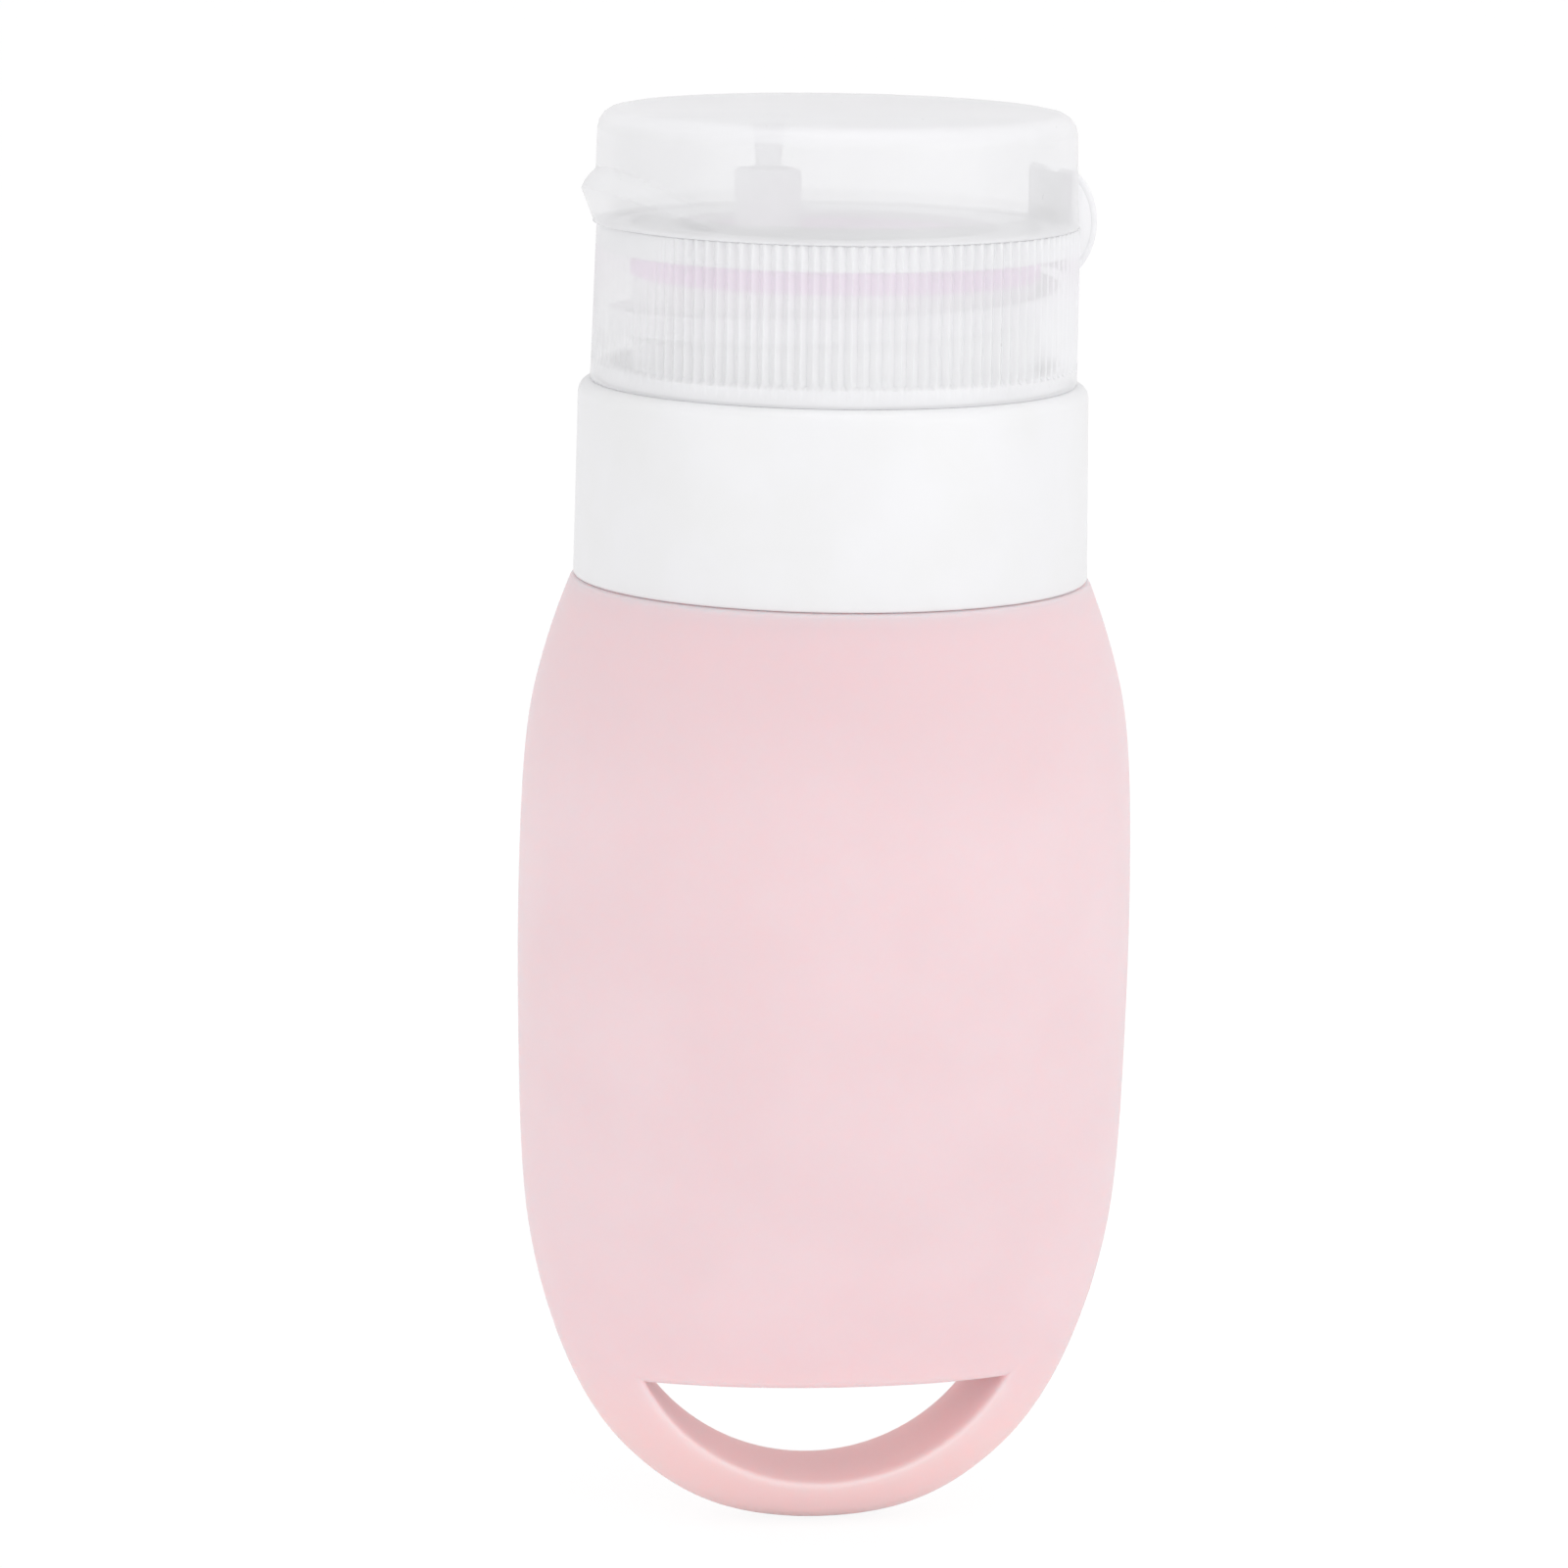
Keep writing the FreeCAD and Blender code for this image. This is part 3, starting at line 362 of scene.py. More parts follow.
# Silicone body
def section_at(height):
    """Half width and half depth of the body at a height: a smooth curve through the stations' squares."""
    heights = [station[0] for station in BODY_STATIONS]
    last = len(heights) - 2
    span = max(0, min(last, sum(1 for mark in heights if mark <= height) - 1))
    low, high = heights[span], heights[span + 1]
    share = (height - low) / (high - low)
    sizes = []
    for column in (1, 2):
        squares = [station[column] ** 2 for station in BODY_STATIONS]
        slopes = []
        for index in (span, span + 1):
            before, after = max(index - 1, 0), min(index + 1, last + 1)
            slopes.append((squares[after] - squares[before]) / (heights[after] - heights[before]))
        square = (
            squares[span] * (1 + 2 * share) * (1 - share) ** 2
            + squares[span + 1] * share ** 2 * (3 - 2 * share)
            + slopes[0] * (high - low) * share * (1 - share) ** 2
            - slopes[1] * (high - low) * share ** 2 * (1 - share))
        sizes.append(math.sqrt(max(square, 0)))
    return sizes


def depth_at(across, height):
    """Distance of the body's face from its middle plane."""
    half_width, half_depth = section_at(height)
    if half_width == 0:
        return 0.0
    return half_depth * math.sqrt(max(0.0, 1 - (across / half_width) ** 2))


def loop_outline():
    """Points (across, height) down the body's side from the loop's top to its lowest point, evenly spaced."""
    points = []
    for step in range(OUTLINE_STEPS + 1):
        height = LOOP_TOP * (1 - step / OUTLINE_STEPS) ** 2
        points.append((section_at(height)[0], height))
    lengths = [0.0]
    for first, second in zip(points, points[1:]):
        lengths.append(lengths[-1] + math.dist(first, second))
    count = BODY_HALF // 2
    chosen = []
    for mark in range(count + 1):
        wanted = lengths[-1] * mark / count
        index = min(range(OUTLINE_STEPS + 1), key=lambda place: abs(lengths[place] - wanted))
        chosen.append(points[index])
    return chosen


def slot_ring():
    """The slot's edge (across, height): its level ceiling from left to right, then back along the arc."""
    radius = (SLOT_HALF_WIDTH ** 2 + SLOT_DROP ** 2) / 2 / SLOT_DROP
    centre = SLOT_CEILING - SLOT_DROP + radius
    reach = math.asin(SLOT_HALF_WIDTH / radius)
    places = []
    for step in range(BODY_HALF):
        places.append((-SLOT_HALF_WIDTH * math.cos(math.pi * step / BODY_HALF), SLOT_CEILING))
    for step in range(BODY_HALF):
        angle = reach * (1 - 2 * step / BODY_HALF)
        places.append((radius * math.sin(angle), centre - radius * math.cos(angle)))
    return places


def outer_ring():
    """The loop's outer edge: across the body at the loop's top, then round the foot and back."""
    half_width = section_at(LOOP_TOP)[0]
    places = [(-half_width * math.cos(math.pi * step / BODY_HALF), LOOP_TOP) for step in range(BODY_HALF)]
    right = loop_outline()
    places += right[:-1]
    places += [(-across, height) for across, height in reversed(right[1:])]
    return places


def grow(bm, ring, places):
    """Extrude a closed ring of vertices and set the new ones in their places."""
    edges = [bm.edges.get((point, ring[index - 1])) for index, point in enumerate(ring)]
    fresh = set(points_of(bmesh.ops.extrude_edge_only(bm, edges=edges)["geom"]))
    grown = []
    for point, place in zip(ring, places):
        follower = next(
            edge.other_vert(point) for edge in point.link_edges if edge.other_vert(point) in fresh)
        follower.co = place
        grown.append(follower)
    return grown


def loop_places(ring, side):
    """Places of one ring between the slot's edge and the outer edge, on the front (-1) or the back (1)."""
    places = []
    ring_share = ring / LOOP_RINGS
    for index, (inner, outer) in enumerate(zip(slot_ring(), outer_ring())):
        crowd_share = 1.0
        if index <= BODY_HALF:
            crowd_share = abs(math.cos(math.pi * index / BODY_HALF)) ** LOOP_CROWDING_POWER
        share = ring_share * (1 - crowd_share) + math.sin(ring_share * math.pi / 2) * crowd_share
        across = inner[0] + (outer[0] - inner[0]) * share
        height = inner[1] + (outer[1] - inner[1]) * share
        depth = depth_at(across, height)
        if ring == LOOP_RINGS and (index >= BODY_HALF or index == 0):
            depth = 0.0
        places.append(Vector((across, side * depth, height)))
    return places


def oval_places(height, half_width, half_depth):
    """One level ring of the body above its loop."""
    return [
        Vector((
            -half_width * math.cos(math.pi * step / BODY_HALF),
            -half_depth * math.sin(math.pi * step / BODY_HALF),
            height))
        for step in range(BODY_COLUMNS)]


def make_silicone_body(material):
    """Squeeze body: the loop round its slot, its outside up to the ledge, sleeve and hollow."""
    bm = bmesh.new()
    front = [bmesh.ops.create_circle(bm, segments=BODY_COLUMNS, radius=1)["verts"]]
    for point, place in zip(front[0], loop_places(0, -1)):
        point.co = place
    for ring in range(1, LOOP_RINGS + 1):
        front.append(grow(bm, front[-1], loop_places(ring, -1)))
    wall = front[0]
    back_places = loop_places(0, 1)
    for share in LOOP_WALL_SHARES:
        wall = grow(bm, wall, [
            first.co.lerp(second, share) for first, second in zip(front[0], back_places)])
    back = [wall]
    for ring in range(1, LOOP_RINGS + 1):
        back.append(grow(bm, back[-1], loop_places(ring, 1)))
    side = [0] + list(range(BODY_HALF, BODY_COLUMNS))
    bmesh.ops.weld_verts(bm, targetmap={back[-1][index]: front[-1][index] for index in side})
    level = front[-1][:BODY_HALF + 1] + [back[-1][index] for index in range(BODY_HALF - 1, 0, -1)]
    for height in OUTSIDE_LEVELS:
        level = grow(bm, level, oval_places(height, *section_at(height)))
    sleeve_side = SLEEVE_TOP - SLEEVE_EDGE_DROP
    for height, radius in (
            (LEDGE - LEDGE_ROUND, LEDGE_SIDE), (LEDGE, LEDGE_RADIUS), (LEDGE, LEDGE_MIDDLE),
            (LEDGE, SLEEVE_RADIUS + SLEEVE_FILLET), (LEDGE + SLEEVE_FILLET_RISE, SLEEVE_RADIUS),
            (SLEEVE_MIDDLE, SLEEVE_RADIUS), (sleeve_side, SLEEVE_RADIUS),
            (SLEEVE_TOP, SLEEVE_RADIUS - SLEEVE_EDGE), (SLEEVE_TOP, MOUTH_RADIUS + SLEEVE_EDGE),
            (sleeve_side, MOUTH_RADIUS), (SLEEVE_MIDDLE, MOUTH_RADIUS), (MOUTH_FOOT, MOUTH_RADIUS),
            *MOUTH_FLARE):
        level = grow(bm, level, oval_places(height, radius, radius))
    for height in HOLLOW_LEVELS:
        half_width, half_depth = section_at(height)
        level = grow(bm, level, oval_places(height, half_width - SILICONE_WALL, half_depth - SILICONE_WALL))
    for height, half_width, half_depth in HOLLOW_FLOOR:
        level = grow(bm, level, oval_places(height, half_width, half_depth))
    bmesh.ops.contextual_create(bm, geom=level)
    bmesh.ops.recalc_face_normals(bm, faces=bm.faces)
    piece = make_piece(bm, "silicone_body", [material], ALL_SMOOTH_DEGREES)
    smooth = piece.modifiers.new("smooth", "SUBSURF")
    smooth.levels = smooth.render_levels = BODY_SMOOTHING
    seat(piece, "bottle", "bottle_body")


# Collar, neck and seals
def make_collar(material):
    """Collar ring with a rounded shoulder and a lip over the neck's flange."""
    bm = spun((
        (COLLAR_BORE, LEDGE, 0), (COLLAR_FOOT_RADIUS, LEDGE, COLLAR_EDGE),
        (COLLAR_TOP_RADIUS, COLLAR_TOP, COLLAR_SHOULDER), (COLLAR_LIP_BORE, COLLAR_TOP, COLLAR_EDGE),
        (COLLAR_LIP_BORE, FLANGE_TOP, 0), (COLLAR_BORE, FLANGE_TOP, 0),
    ), LARGE_RING_STEPS)
    seat(make_piece(bm, "clamp_collar", [material]), "bottle", "collar")


def add_thread(bm, radius, reach, foot, finish=SKIN):
    """Helical ridge on a wall of a given radius; a negative reach stands inwards."""
    thread = bmesh.new()
    sunk = radius - math.copysign(THREAD_SINK, reach)
    crest = radius + reach
    corners = (
        (sunk, -THREAD_HALF_ROOT), (crest, -THREAD_HALF_CREST),
        (crest, THREAD_HALF_CREST), (sunk, THREAD_HALF_ROOT))
    points = [thread.verts.new((across, 0, foot + up)) for across, up in corners]
    edges = [thread.edges.new((point, points[index - 1])) for index, point in enumerate(points)]
    thread.faces.new(points)
    steps = int(THREAD_STEPS * THREAD_TURNS)
    made = bmesh.ops.spin(
        thread, geom=points + edges, cent=(0, 0, 0), axis=(0, 0, 1),
        dvec=(0, 0, THREAD_PITCH * THREAD_TURNS / steps), angle=TURN * THREAD_TURNS, steps=steps)
    bmesh.ops.contextual_create(thread, geom=points_of(made["geom_last"]))
    bmesh.ops.recalc_face_normals(thread, faces=thread.faces)
    join(bm, thread, finish)


def make_neck(material):
    """Stiff neck with its barb, flange and outside thread."""
    bm = spun((
        (NECK_BORE, BARB_FOOT, NECK_EDGE), (BARB_RADIUS, BARB_FOOT, NECK_EDGE),
        (BARB_RADIUS, BARB_TOP, NECK_EDGE), (NECK_RADIUS, BARB_TOP, 0), (NECK_RADIUS, SLEEVE_TOP, 0),
        (FLANGE_RADIUS, SLEEVE_TOP, FLANGE_EDGE), (FLANGE_RADIUS, FLANGE_TOP, FLANGE_EDGE),
        (NECK_RADIUS, FLANGE_TOP, 0), (NECK_RADIUS, NECK_RIM - RIM_CHAMFER, 0),
        (NECK_RADIUS - RIM_CHAMFER, NECK_RIM, 0), (NECK_BORE, NECK_RIM, NECK_EDGE),
    ), LARGE_RING_STEPS)
    add_thread(bm, NECK_RADIUS, NECK_THREAD_REACH, NECK_THREAD_FOOT)
    seat(make_piece(bm, "threaded_neck", [material]), "bottle", "neck_insert")


def make_gasket(material):
    """Sealing ring with soft edges, lapped over the chamfer of the neck's rim."""
    lap = NECK_RIM - RIM_CHAMFER
    top = DECK_UNDER - SEAT_GAP
    bm = spun((
        (SEAL_BORE, NECK_RIM, SEAL_EDGE), (NECK_RADIUS - RIM_CHAMFER + SEAL_SLACK, NECK_RIM, 0),
        (NECK_RADIUS + SEAL_SLACK, lap, 0), (SEAL_RADIUS, lap, 0),
        (SEAL_RADIUS, top, SEAL_EDGE), (SEAL_BORE, top, SEAL_EDGE),
    ), SEAL_STEPS)
    turn_with_cap(bm)
    seat(make_piece(bm, "sealing_ring", [material]), "seal", "seal_gasket")


def make_valve(material):
    """Valve disc with its nipple, which is slit crosswise into four lobes."""
    top = VALVE_TOP - SEAT_GAP
    root = VALVE_TOP - NIPPLE_SINK
    bm = spun((
        (0, VALVE_FOOT, 0), (VALVE_RADIUS, VALVE_FOOT, VALVE_EDGE),
        (VALVE_RADIUS, top, VALVE_EDGE), (0, top, 0),
    ), SEAL_STEPS)
    corners = (
        (NIPPLE_BORE, root), (NIPPLE_RADIUS, root), (NIPPLE_RADIUS, NIPPLE_TOP - NIPPLE_CHAMFER),
        (NIPPLE_RADIUS - NIPPLE_CHAMFER, NIPPLE_TOP), (NIPPLE_BORE, NIPPLE_TOP))
    for turn in range(LOBE_COUNT):
        lobe = bmesh.new()
        face = lobe.faces.new([lobe.verts.new((across, 0, up)) for across, up in corners])
        bmesh.ops.spin(
            lobe, geom=[face], cent=(0, 0, 0), axis=(0, 0, 1), angle=TURN / LOBE_COUNT - SLIT_ANGLE,
            steps=LOBE_STEPS)
        bmesh.ops.rotate(
            lobe, cent=(0, 0, 0), matrix=Matrix.Rotation(TURN / LOBE_COUNT * turn, 3, "Z"), verts=lobe.verts)
        bmesh.ops.translate(lobe, vec=(-SPOUT_OFFSET, 0, 0), verts=lobe.verts)
        bmesh.ops.recalc_face_normals(lobe, faces=lobe.faces)
        join(bm, lobe)
    turn_with_cap(bm)
    seat(make_piece(bm, "slit_valve_disc", [material]), "cap", "slit_valve")


# Hinge
def add_ear(bm, side):
    """Half lobe in the straps' bow: level at the seam, with its arc below (-1) or above (1)."""
    ear = bmesh.new()
    sweep = math.acos((CAP_BORE + EAR_BITE - BOW_CENTRE) / EAR_RADIUS)
    tip = ear.verts.new((BOW_CENTRE + EAR_RADIUS, -EAR_WIDTH / 2, SEAM))
    made = bmesh.ops.spin(
        ear, geom=[tip], cent=(BOW_CENTRE, 0, SEAM), axis=(0, 1, 0), angle=-side * sweep, steps=EAR_STEPS)
    end = points_of(made["geom_last"])[0]
    root = ear.verts.new((end.co.x, end.co.y, SEAM))
    ear.edges.new((end, root))
    ear.edges.new((root, tip))
    face = bmesh.ops.contextual_create(ear, geom=ear.edges[:])["faces"]
    grown = bmesh.ops.extrude_face_region(ear, geom=face)["geom"]
    bmesh.ops.translate(ear, vec=(0, EAR_WIDTH, 0), verts=points_of(grown))
    bmesh.ops.recalc_face_normals(ear, faces=ear.faces)
    cheeks = [face for face in ear.faces if abs(face.normal.y) > CHEEK_FACING_SHARE]
    rims = [
        edge for face in cheeks for edge in face.edges
        if any(abs(point.co.z - SEAM) > POINT_MARGIN for point in edge.verts)]
    bmesh.ops.bevel(
        ear, geom=rims, offset=EAR_EDGE, offset_type="OFFSET",
        affect="EDGES", segments=EDGE_SEGMENTS, profile=0.5, material=-1)
    join(bm, ear, THICK)


def make_strap(name, node, side, material):
    """Bowed strap over the hinge's ears, from the cap's wall to the lid's."""
    bm = bmesh.new()
    half = STRAP_WIDTH / 2
    inner = STRAP_BOW - STRAP_THICKNESS
    corners = ((STRAP_BOW, -half), (STRAP_BOW, half), (inner, half), (inner, -half))
    points = [bm.verts.new((across, along, 0)) for across, along in corners]
    for index, point in enumerate(points):
        bm.edges.new((point, points[index - 1]))
    bmesh.ops.bevel(
        bm, geom=points, offset=STRAP_EDGE, offset_type="OFFSET",
        affect="VERTICES", segments=EDGE_SEGMENTS, profile=0.5, material=-1)
    bmesh.ops.contextual_create(bm, geom=bm.edges[:])
    bmesh.ops.rotate(bm, cent=(0, 0, 0), matrix=Matrix.Rotation(STRAP_REACH, 3, "Y"), verts=bm.verts)
    made = bmesh.ops.spin(
        bm, geom=bm.verts[:] + bm.edges[:], cent=(0, 0, 0), axis=(0, 1, 0), angle=-2 * STRAP_REACH,
        steps=STRAP_STEPS)
    bmesh.ops.contextual_create(bm, geom=points_of(made["geom_last"]))
    bmesh.ops.recalc_face_normals(bm, faces=bm.faces)
    bmesh.ops.translate(bm, vec=(BOW_CENTRE, side * STRAP_MIDDLE, SEAM), verts=bm.verts)
    turn_with_cap(bm)
    piece = make_piece(bm, name, [material])
    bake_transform(piece)
    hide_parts(node)


# Screw cap
def panel_reach(angle, height):
    """Radius of the smooth thumb panel at an angle from the thumb's side and a height."""
    bow = CAP_RADIUS - PANEL_DEPTH - CAP_RADIUS * math.cos(PANEL_TOP_ANGLE)
    offset = PANEL_DEPTH * (2 * CAP_RADIUS - PANEL_DEPTH) / 2 / bow
    top = CAP_RADIUS - PANEL_DEPTH + offset
    foot = math.sqrt(CAP_RADIUS ** 2 + offset ** 2 + 2 * CAP_RADIUS * offset * math.cos(PANEL_FOOT_ANGLE))
    radius = foot + (top - foot) * (height - PANEL_FOOT) / (SEAM - PANEL_FOOT)
    return -offset * math.cos(angle) + math.sqrt(radius ** 2 - (offset * math.sin(angle)) ** 2)


def move_out(point, wanted):
    """Set a point's distance from the bottle's axis."""
    radius = math.hypot(point.co.x, point.co.y)
    point.co.x *= wanted / radius
    point.co.y *= wanted / radius


def shape_skirt(bm):
    """Press the ribs and the thumb panel into the skirt's outer wall."""
    for point in bm.verts:
        radius = math.hypot(point.co.x, point.co.y)
        on_ribs = RIB_FOOT - POINT_MARGIN < point.co.z < SEAM + POINT_MARGIN
        if radius < CAP_RADIUS - POINT_MARGIN or not on_ribs:
            continue
        angle = math.atan2(point.co.y, point.co.x)
        depth = RIB_DEPTH * (0.5 - 0.5 * math.cos(RIB_COUNT * angle))
        depth *= min(1.0, (point.co.z - RIB_FOOT) / RIB_RUN_OUT)
        wanted = CAP_RADIUS - depth
        from_thumb = math.pi - abs(angle)
        if from_thumb < 2 * PANEL_TOP_ANGLE:
            wanted = min(wanted, panel_reach(from_thumb, point.co.z))
        move_out(point, wanted)


def make_cap(materials):
    """Ribbed skirt, deck with its step and valve socket, spout, inside thread and hinge ear."""
    top = SEAM - SEAM_CHAMFER
    rows = [RIB_FOOT, RIB_FOOT + RIB_RUN_OUT]
    rows += [RIB_FOOT + (top - RIB_FOOT) * row / WALL_ROWS for row in range(1, WALL_ROWS + 1)]
    bm = spun((
        (CAP_BORE, CAP_FOOT, CAP_BORE_EDGE), (CAP_FOOT_RADIUS, CAP_FOOT, CAP_FOOT_EDGE),
        (CAP_RADIUS, CAP_FOOT_CHAMFER_TOP, 0), *((CAP_RADIUS, row, 0) for row in rows),
        (CAP_RADIUS - SEAM_CHAMFER, SEAM, 0), (STEP_RADIUS, SEAM, 0), (STEP_RADIUS, STEP_TOP, STEP_EDGE),
        (STEP_BORE, STEP_TOP, STEP_EDGE), (STEP_BORE, SEAM, 0), (0, SEAM, 0),
        (0, VALVE_TOP, 0), (SOCKET_BORE, VALVE_TOP, 0), (SOCKET_BORE, RETAINER_FOOT, 0),
        (SOCKET_RADIUS, RETAINER_FOOT, 0), (SOCKET_RADIUS, DECK_UNDER, 0), (CAP_BORE, DECK_UNDER, 0),
    ), RIB_COUNT * RIB_COLUMNS)
    shape_skirt(bm)
    # Clear faces: the inner wall and the deck's underside, the thin skin over the valve, and the step
    for face in bm.faces:
        middle = face.calc_center_median()
        radius = math.hypot(middle.x, middle.y)
        inner_wall = radius < CAP_BORE + WALL_MARGIN and middle.z < SEAM - FACE_MARGIN
        if inner_wall or radius < SOCKET_BORE or middle.z > SEAM + FACE_MARGIN:
            face.material_index = CLEAR
    add_thread(bm, CAP_BORE, CAP_THREAD_REACH, CAP_THREAD_FOOT, THICK)
    spout_root = SEAM - SPOUT_SINK
    join(bm, spun((
        (SPOUT_BORE, spout_root, 0), (SPOUT_RADIUS, spout_root, 0),
        (SPOUT_RADIUS, SPOUT_TOP, SPOUT_EDGE), (SPOUT_BORE, SPOUT_TOP, SPOUT_BORE_EDGE),
    ), SPOUT_STEPS, -SPOUT_OFFSET))
    add_ear(bm, -1)
    # Painted light: white cores in the deck and the skirt's foot hide the shaded cavity behind the skin
    core_foot = DECK_UNDER + CORE_COVER
    core_top = SEAM - CORE_COVER
    core_drop = DECK_UNDER - DECK_CORE_DROP
    join(bm, spun((
        (DECK_CORE_BORE, core_foot, 0), (DECK_CORE_STEP, core_foot, 0),
        (DECK_CORE_STEP, core_drop, CORE_EDGE), (DECK_CORE_RADIUS, core_drop, CORE_EDGE),
        (DECK_CORE_RADIUS, core_top, CORE_EDGE), (DECK_CORE_BORE, core_top, CORE_EDGE),
    ), LARGE_RING_STEPS), THICK)
    foot_bore = CAP_BORE + CORE_COVER
    foot_under = CAP_FOOT + CORE_COVER
    join(bm, spun((
        (foot_bore, foot_under, CORE_EDGE), (FOOT_CORE_RADIUS, foot_under, CORE_EDGE),
        (FOOT_CORE_RADIUS, RIB_FOOT, CORE_EDGE), (foot_bore, RIB_FOOT, CORE_EDGE),
    ), LARGE_RING_STEPS), THICK)
    turn_with_cap(bm)
    seat(make_piece(bm, "ribbed_cap", materials), "cap", "cap_base")


# Flip lid
def lip_edge(angle, height, wall):
    """Radius of the thumb lip's bead at an angle from the thumb's side and a height, or the wall's."""
    front = LID_FOOT_RADIUS + LIP_REACH
    chord = LID_FOOT_RADIUS * math.sin(LIP_HALF_ANGLE)
    bow = (front - LID_FOOT_RADIUS * math.cos(LIP_HALF_ANGLE)) / math.cos(LIP_TILT)
    ring = (chord ** 2 + bow ** 2) / 2 / bow
    swell = (LIP_REACH ** 2 + LIP_RISE ** 2) / 2 / LIP_REACH
    slope = LIP_REACH / LIP_FALL + math.tan(LIP_TILT)
    axis = Vector((front - ring * math.cos(LIP_TILT), LIP_CREST - ring * math.sin(LIP_TILT)))
    out = Vector((math.cos(LIP_TILT), math.sin(LIP_TILT)))
    up = Vector((-math.sin(LIP_TILT), math.cos(LIP_TILT)))

    def inside(radius):
        """Whether a point at this radius is within the bead."""
        place = Vector((radius * math.cos(angle), height)) - axis
        rise = place.dot(up)
        if not -LIP_FALL < rise < LIP_RISE:
            return False
        bead = ring + slope * rise
        if rise > 0:
            bead = ring - swell + math.sqrt(swell ** 2 - rise ** 2)
        return math.hypot(place.dot(out), radius * math.sin(angle)) < bead

    if not inside(wall):
        return wall
    low, high = wall, front + LIP_REACH
    for _ in range(LIP_HALVINGS):
        middle = (low + high) / 2
        if inside(middle):
            low = middle
        else:
            high = middle
    return low


def make_lid(materials):
    """Flip lid: a tapered cup with a thumb lip, a plug pin and the hinge's other ear."""
    shoulder = LID_TOP - LID_SHOULDER_DROP
    slope = (LID_TOP_RADIUS - LID_FOOT_RADIUS) / (LID_TOP - LID_FOOT)
    rows = []
    for row in range(LID_ROWS + 1):
        height = LID_FOOT + (shoulder - LID_FOOT) * row / LID_ROWS
        rows.append((LID_FOOT_RADIUS + slope * (height - LID_FOOT), height, 0))
    bm = spun((
        (0, LID_CEILING, 0), (LID_BORE_TOP, LID_CEILING, LID_CEILING_ROUND),
        (LID_BORE, LID_FOOT, LID_FOOT_EDGE), *rows, (LID_TOP_RADIUS, LID_TOP, LID_TOP_ROUND), (0, LID_TOP, 0),
    ), LID_COLUMNS)
    for point in bm.verts:
        radius = math.hypot(point.co.x, point.co.y)
        from_thumb = math.pi - abs(math.atan2(point.co.y, point.co.x))
        if radius > LID_TOP_RADIUS and from_thumb < LIP_HALF_ANGLE + LIP_MARGIN_ANGLE:
            move_out(point, lip_edge(from_thumb, point.co.z, radius))
    # Clear faces: the inner wall
    for face in bm.faces:
        middle = face.calc_center_median()
        radius = math.hypot(middle.x, middle.y)
        if radius < LID_BORE + WALL_MARGIN and middle.z < LID_CEILING - FACE_MARGIN:
            face.material_index = CLEAR
    pin_root = LID_CEILING + PIN_SINK
    join(bm, spun((
        (0, PIN_FOOT, 0), (PIN_TIP_RADIUS, PIN_FOOT, PIN_TIP_EDGE), (PIN_RADIUS, LID_CEILING, 0),
        (PIN_RADIUS, pin_root, 0), (0, pin_root, 0),
    ), PIN_STEPS, -SPOUT_OFFSET))
    add_ear(bm, 1)
    turn_with_cap(bm)
    seat(make_piece(bm, "flip_top_lid", materials), "lid", "flip_lid")


# Materials, with the sizes of their patterns in millimetres
# A mould's real grain is a tenth of a millimetre or less, which is too fine to show,
# so it is drawn coarser, at half a millimetre or a little more
CLOUD_STOP_SHARES = (0.35, 0.65)
CLOUD_DETAIL = 3.0
GRAIN_DETAIL = 2.0
# Bands of the body's colour: start height, end height and the colour that it reaches there; the shoulder's
# band is painted shade
LOOP_ZONE = (14, 4, "F5D5D5")
# Painted shade: the shoulder is darkened for the shade that falls under the collar
SHOULDER_PAINTED_SHADE_ZONE = (46, 62, "E7CDD1")
SILICONE_CLOUD = 9
SILICONE_GRAIN = 0.5
SILICONE_GRAIN_DEPTH = 0.05
SILICONE_BUMP_SHARE = 0.06
SILICONE_ROUGHNESS = (0.5, 0.62)
SILICONE_IOR = 1.41
SILICONE_SCATTER_REACH = (2.4, 1.3, 1.2)
SILICONE_SHEEN_SHARE = 0.12
SILICONE_SHEEN_ROUGHNESS = 0.4
POLYPROPYLENE_CLOUD = 5
POLYPROPYLENE_GRAIN_DEPTH = 0.04
POLYPROPYLENE_BUMP_SHARE = 0.04
POLYPROPYLENE_ROUGHNESS_SPREAD = 0.05
POLYPROPYLENE_IOR = 1.49
POLYPROPYLENE_SCATTER_REACH = (2.0, 2.0, 2.0)
SATIN_GRAIN = 0.5
SATIN_ROUGHNESS = 0.4
MILKY_GRAIN = 0.6
MILKY_ROUGHNESS = 0.3


def flow_cloud(tree, place, colours, size):
    """Colour that drifts between two shades in soft clouds, as the melt flowed in the mould."""
    cloud = add(
        tree, "ShaderNodeTexNoise", {"Scale": 1 / (size * MM), "Detail": CLOUD_DETAIL}, {"Vector": place})
    ramp = add(tree, "ShaderNodeValToRGB", links={"Fac": cloud.outputs["Fac"]})
    for stop, share, colour in zip(ramp.color_ramp.elements, CLOUD_STOP_SHARES, colours):
        stop.position = share
        stop.color = linear(colour)
    return ramp.outputs["Color"]


def mould_grain(tree, place, size, bump_share, depth, smoothest, roughest):
    """Roughness and bump of the fine grain that the mould's face leaves."""
    grain = add(
        tree, "ShaderNodeTexNoise", {"Scale": 1 / (size * MM), "Detail": GRAIN_DETAIL}, {"Vector": place})
    height = grain.outputs["Fac"]
    bump = add(tree, "ShaderNodeBump", {"Strength": bump_share, "Distance": depth * MM}, {"Height": height})
    rough = add(tree, "ShaderNodeMapRange", {"To Min": smoothest, "To Max": roughest}, {"Value": height})
    return {"Roughness": rough.outputs["Result"], "Normal": bump.outputs["Normal"]}


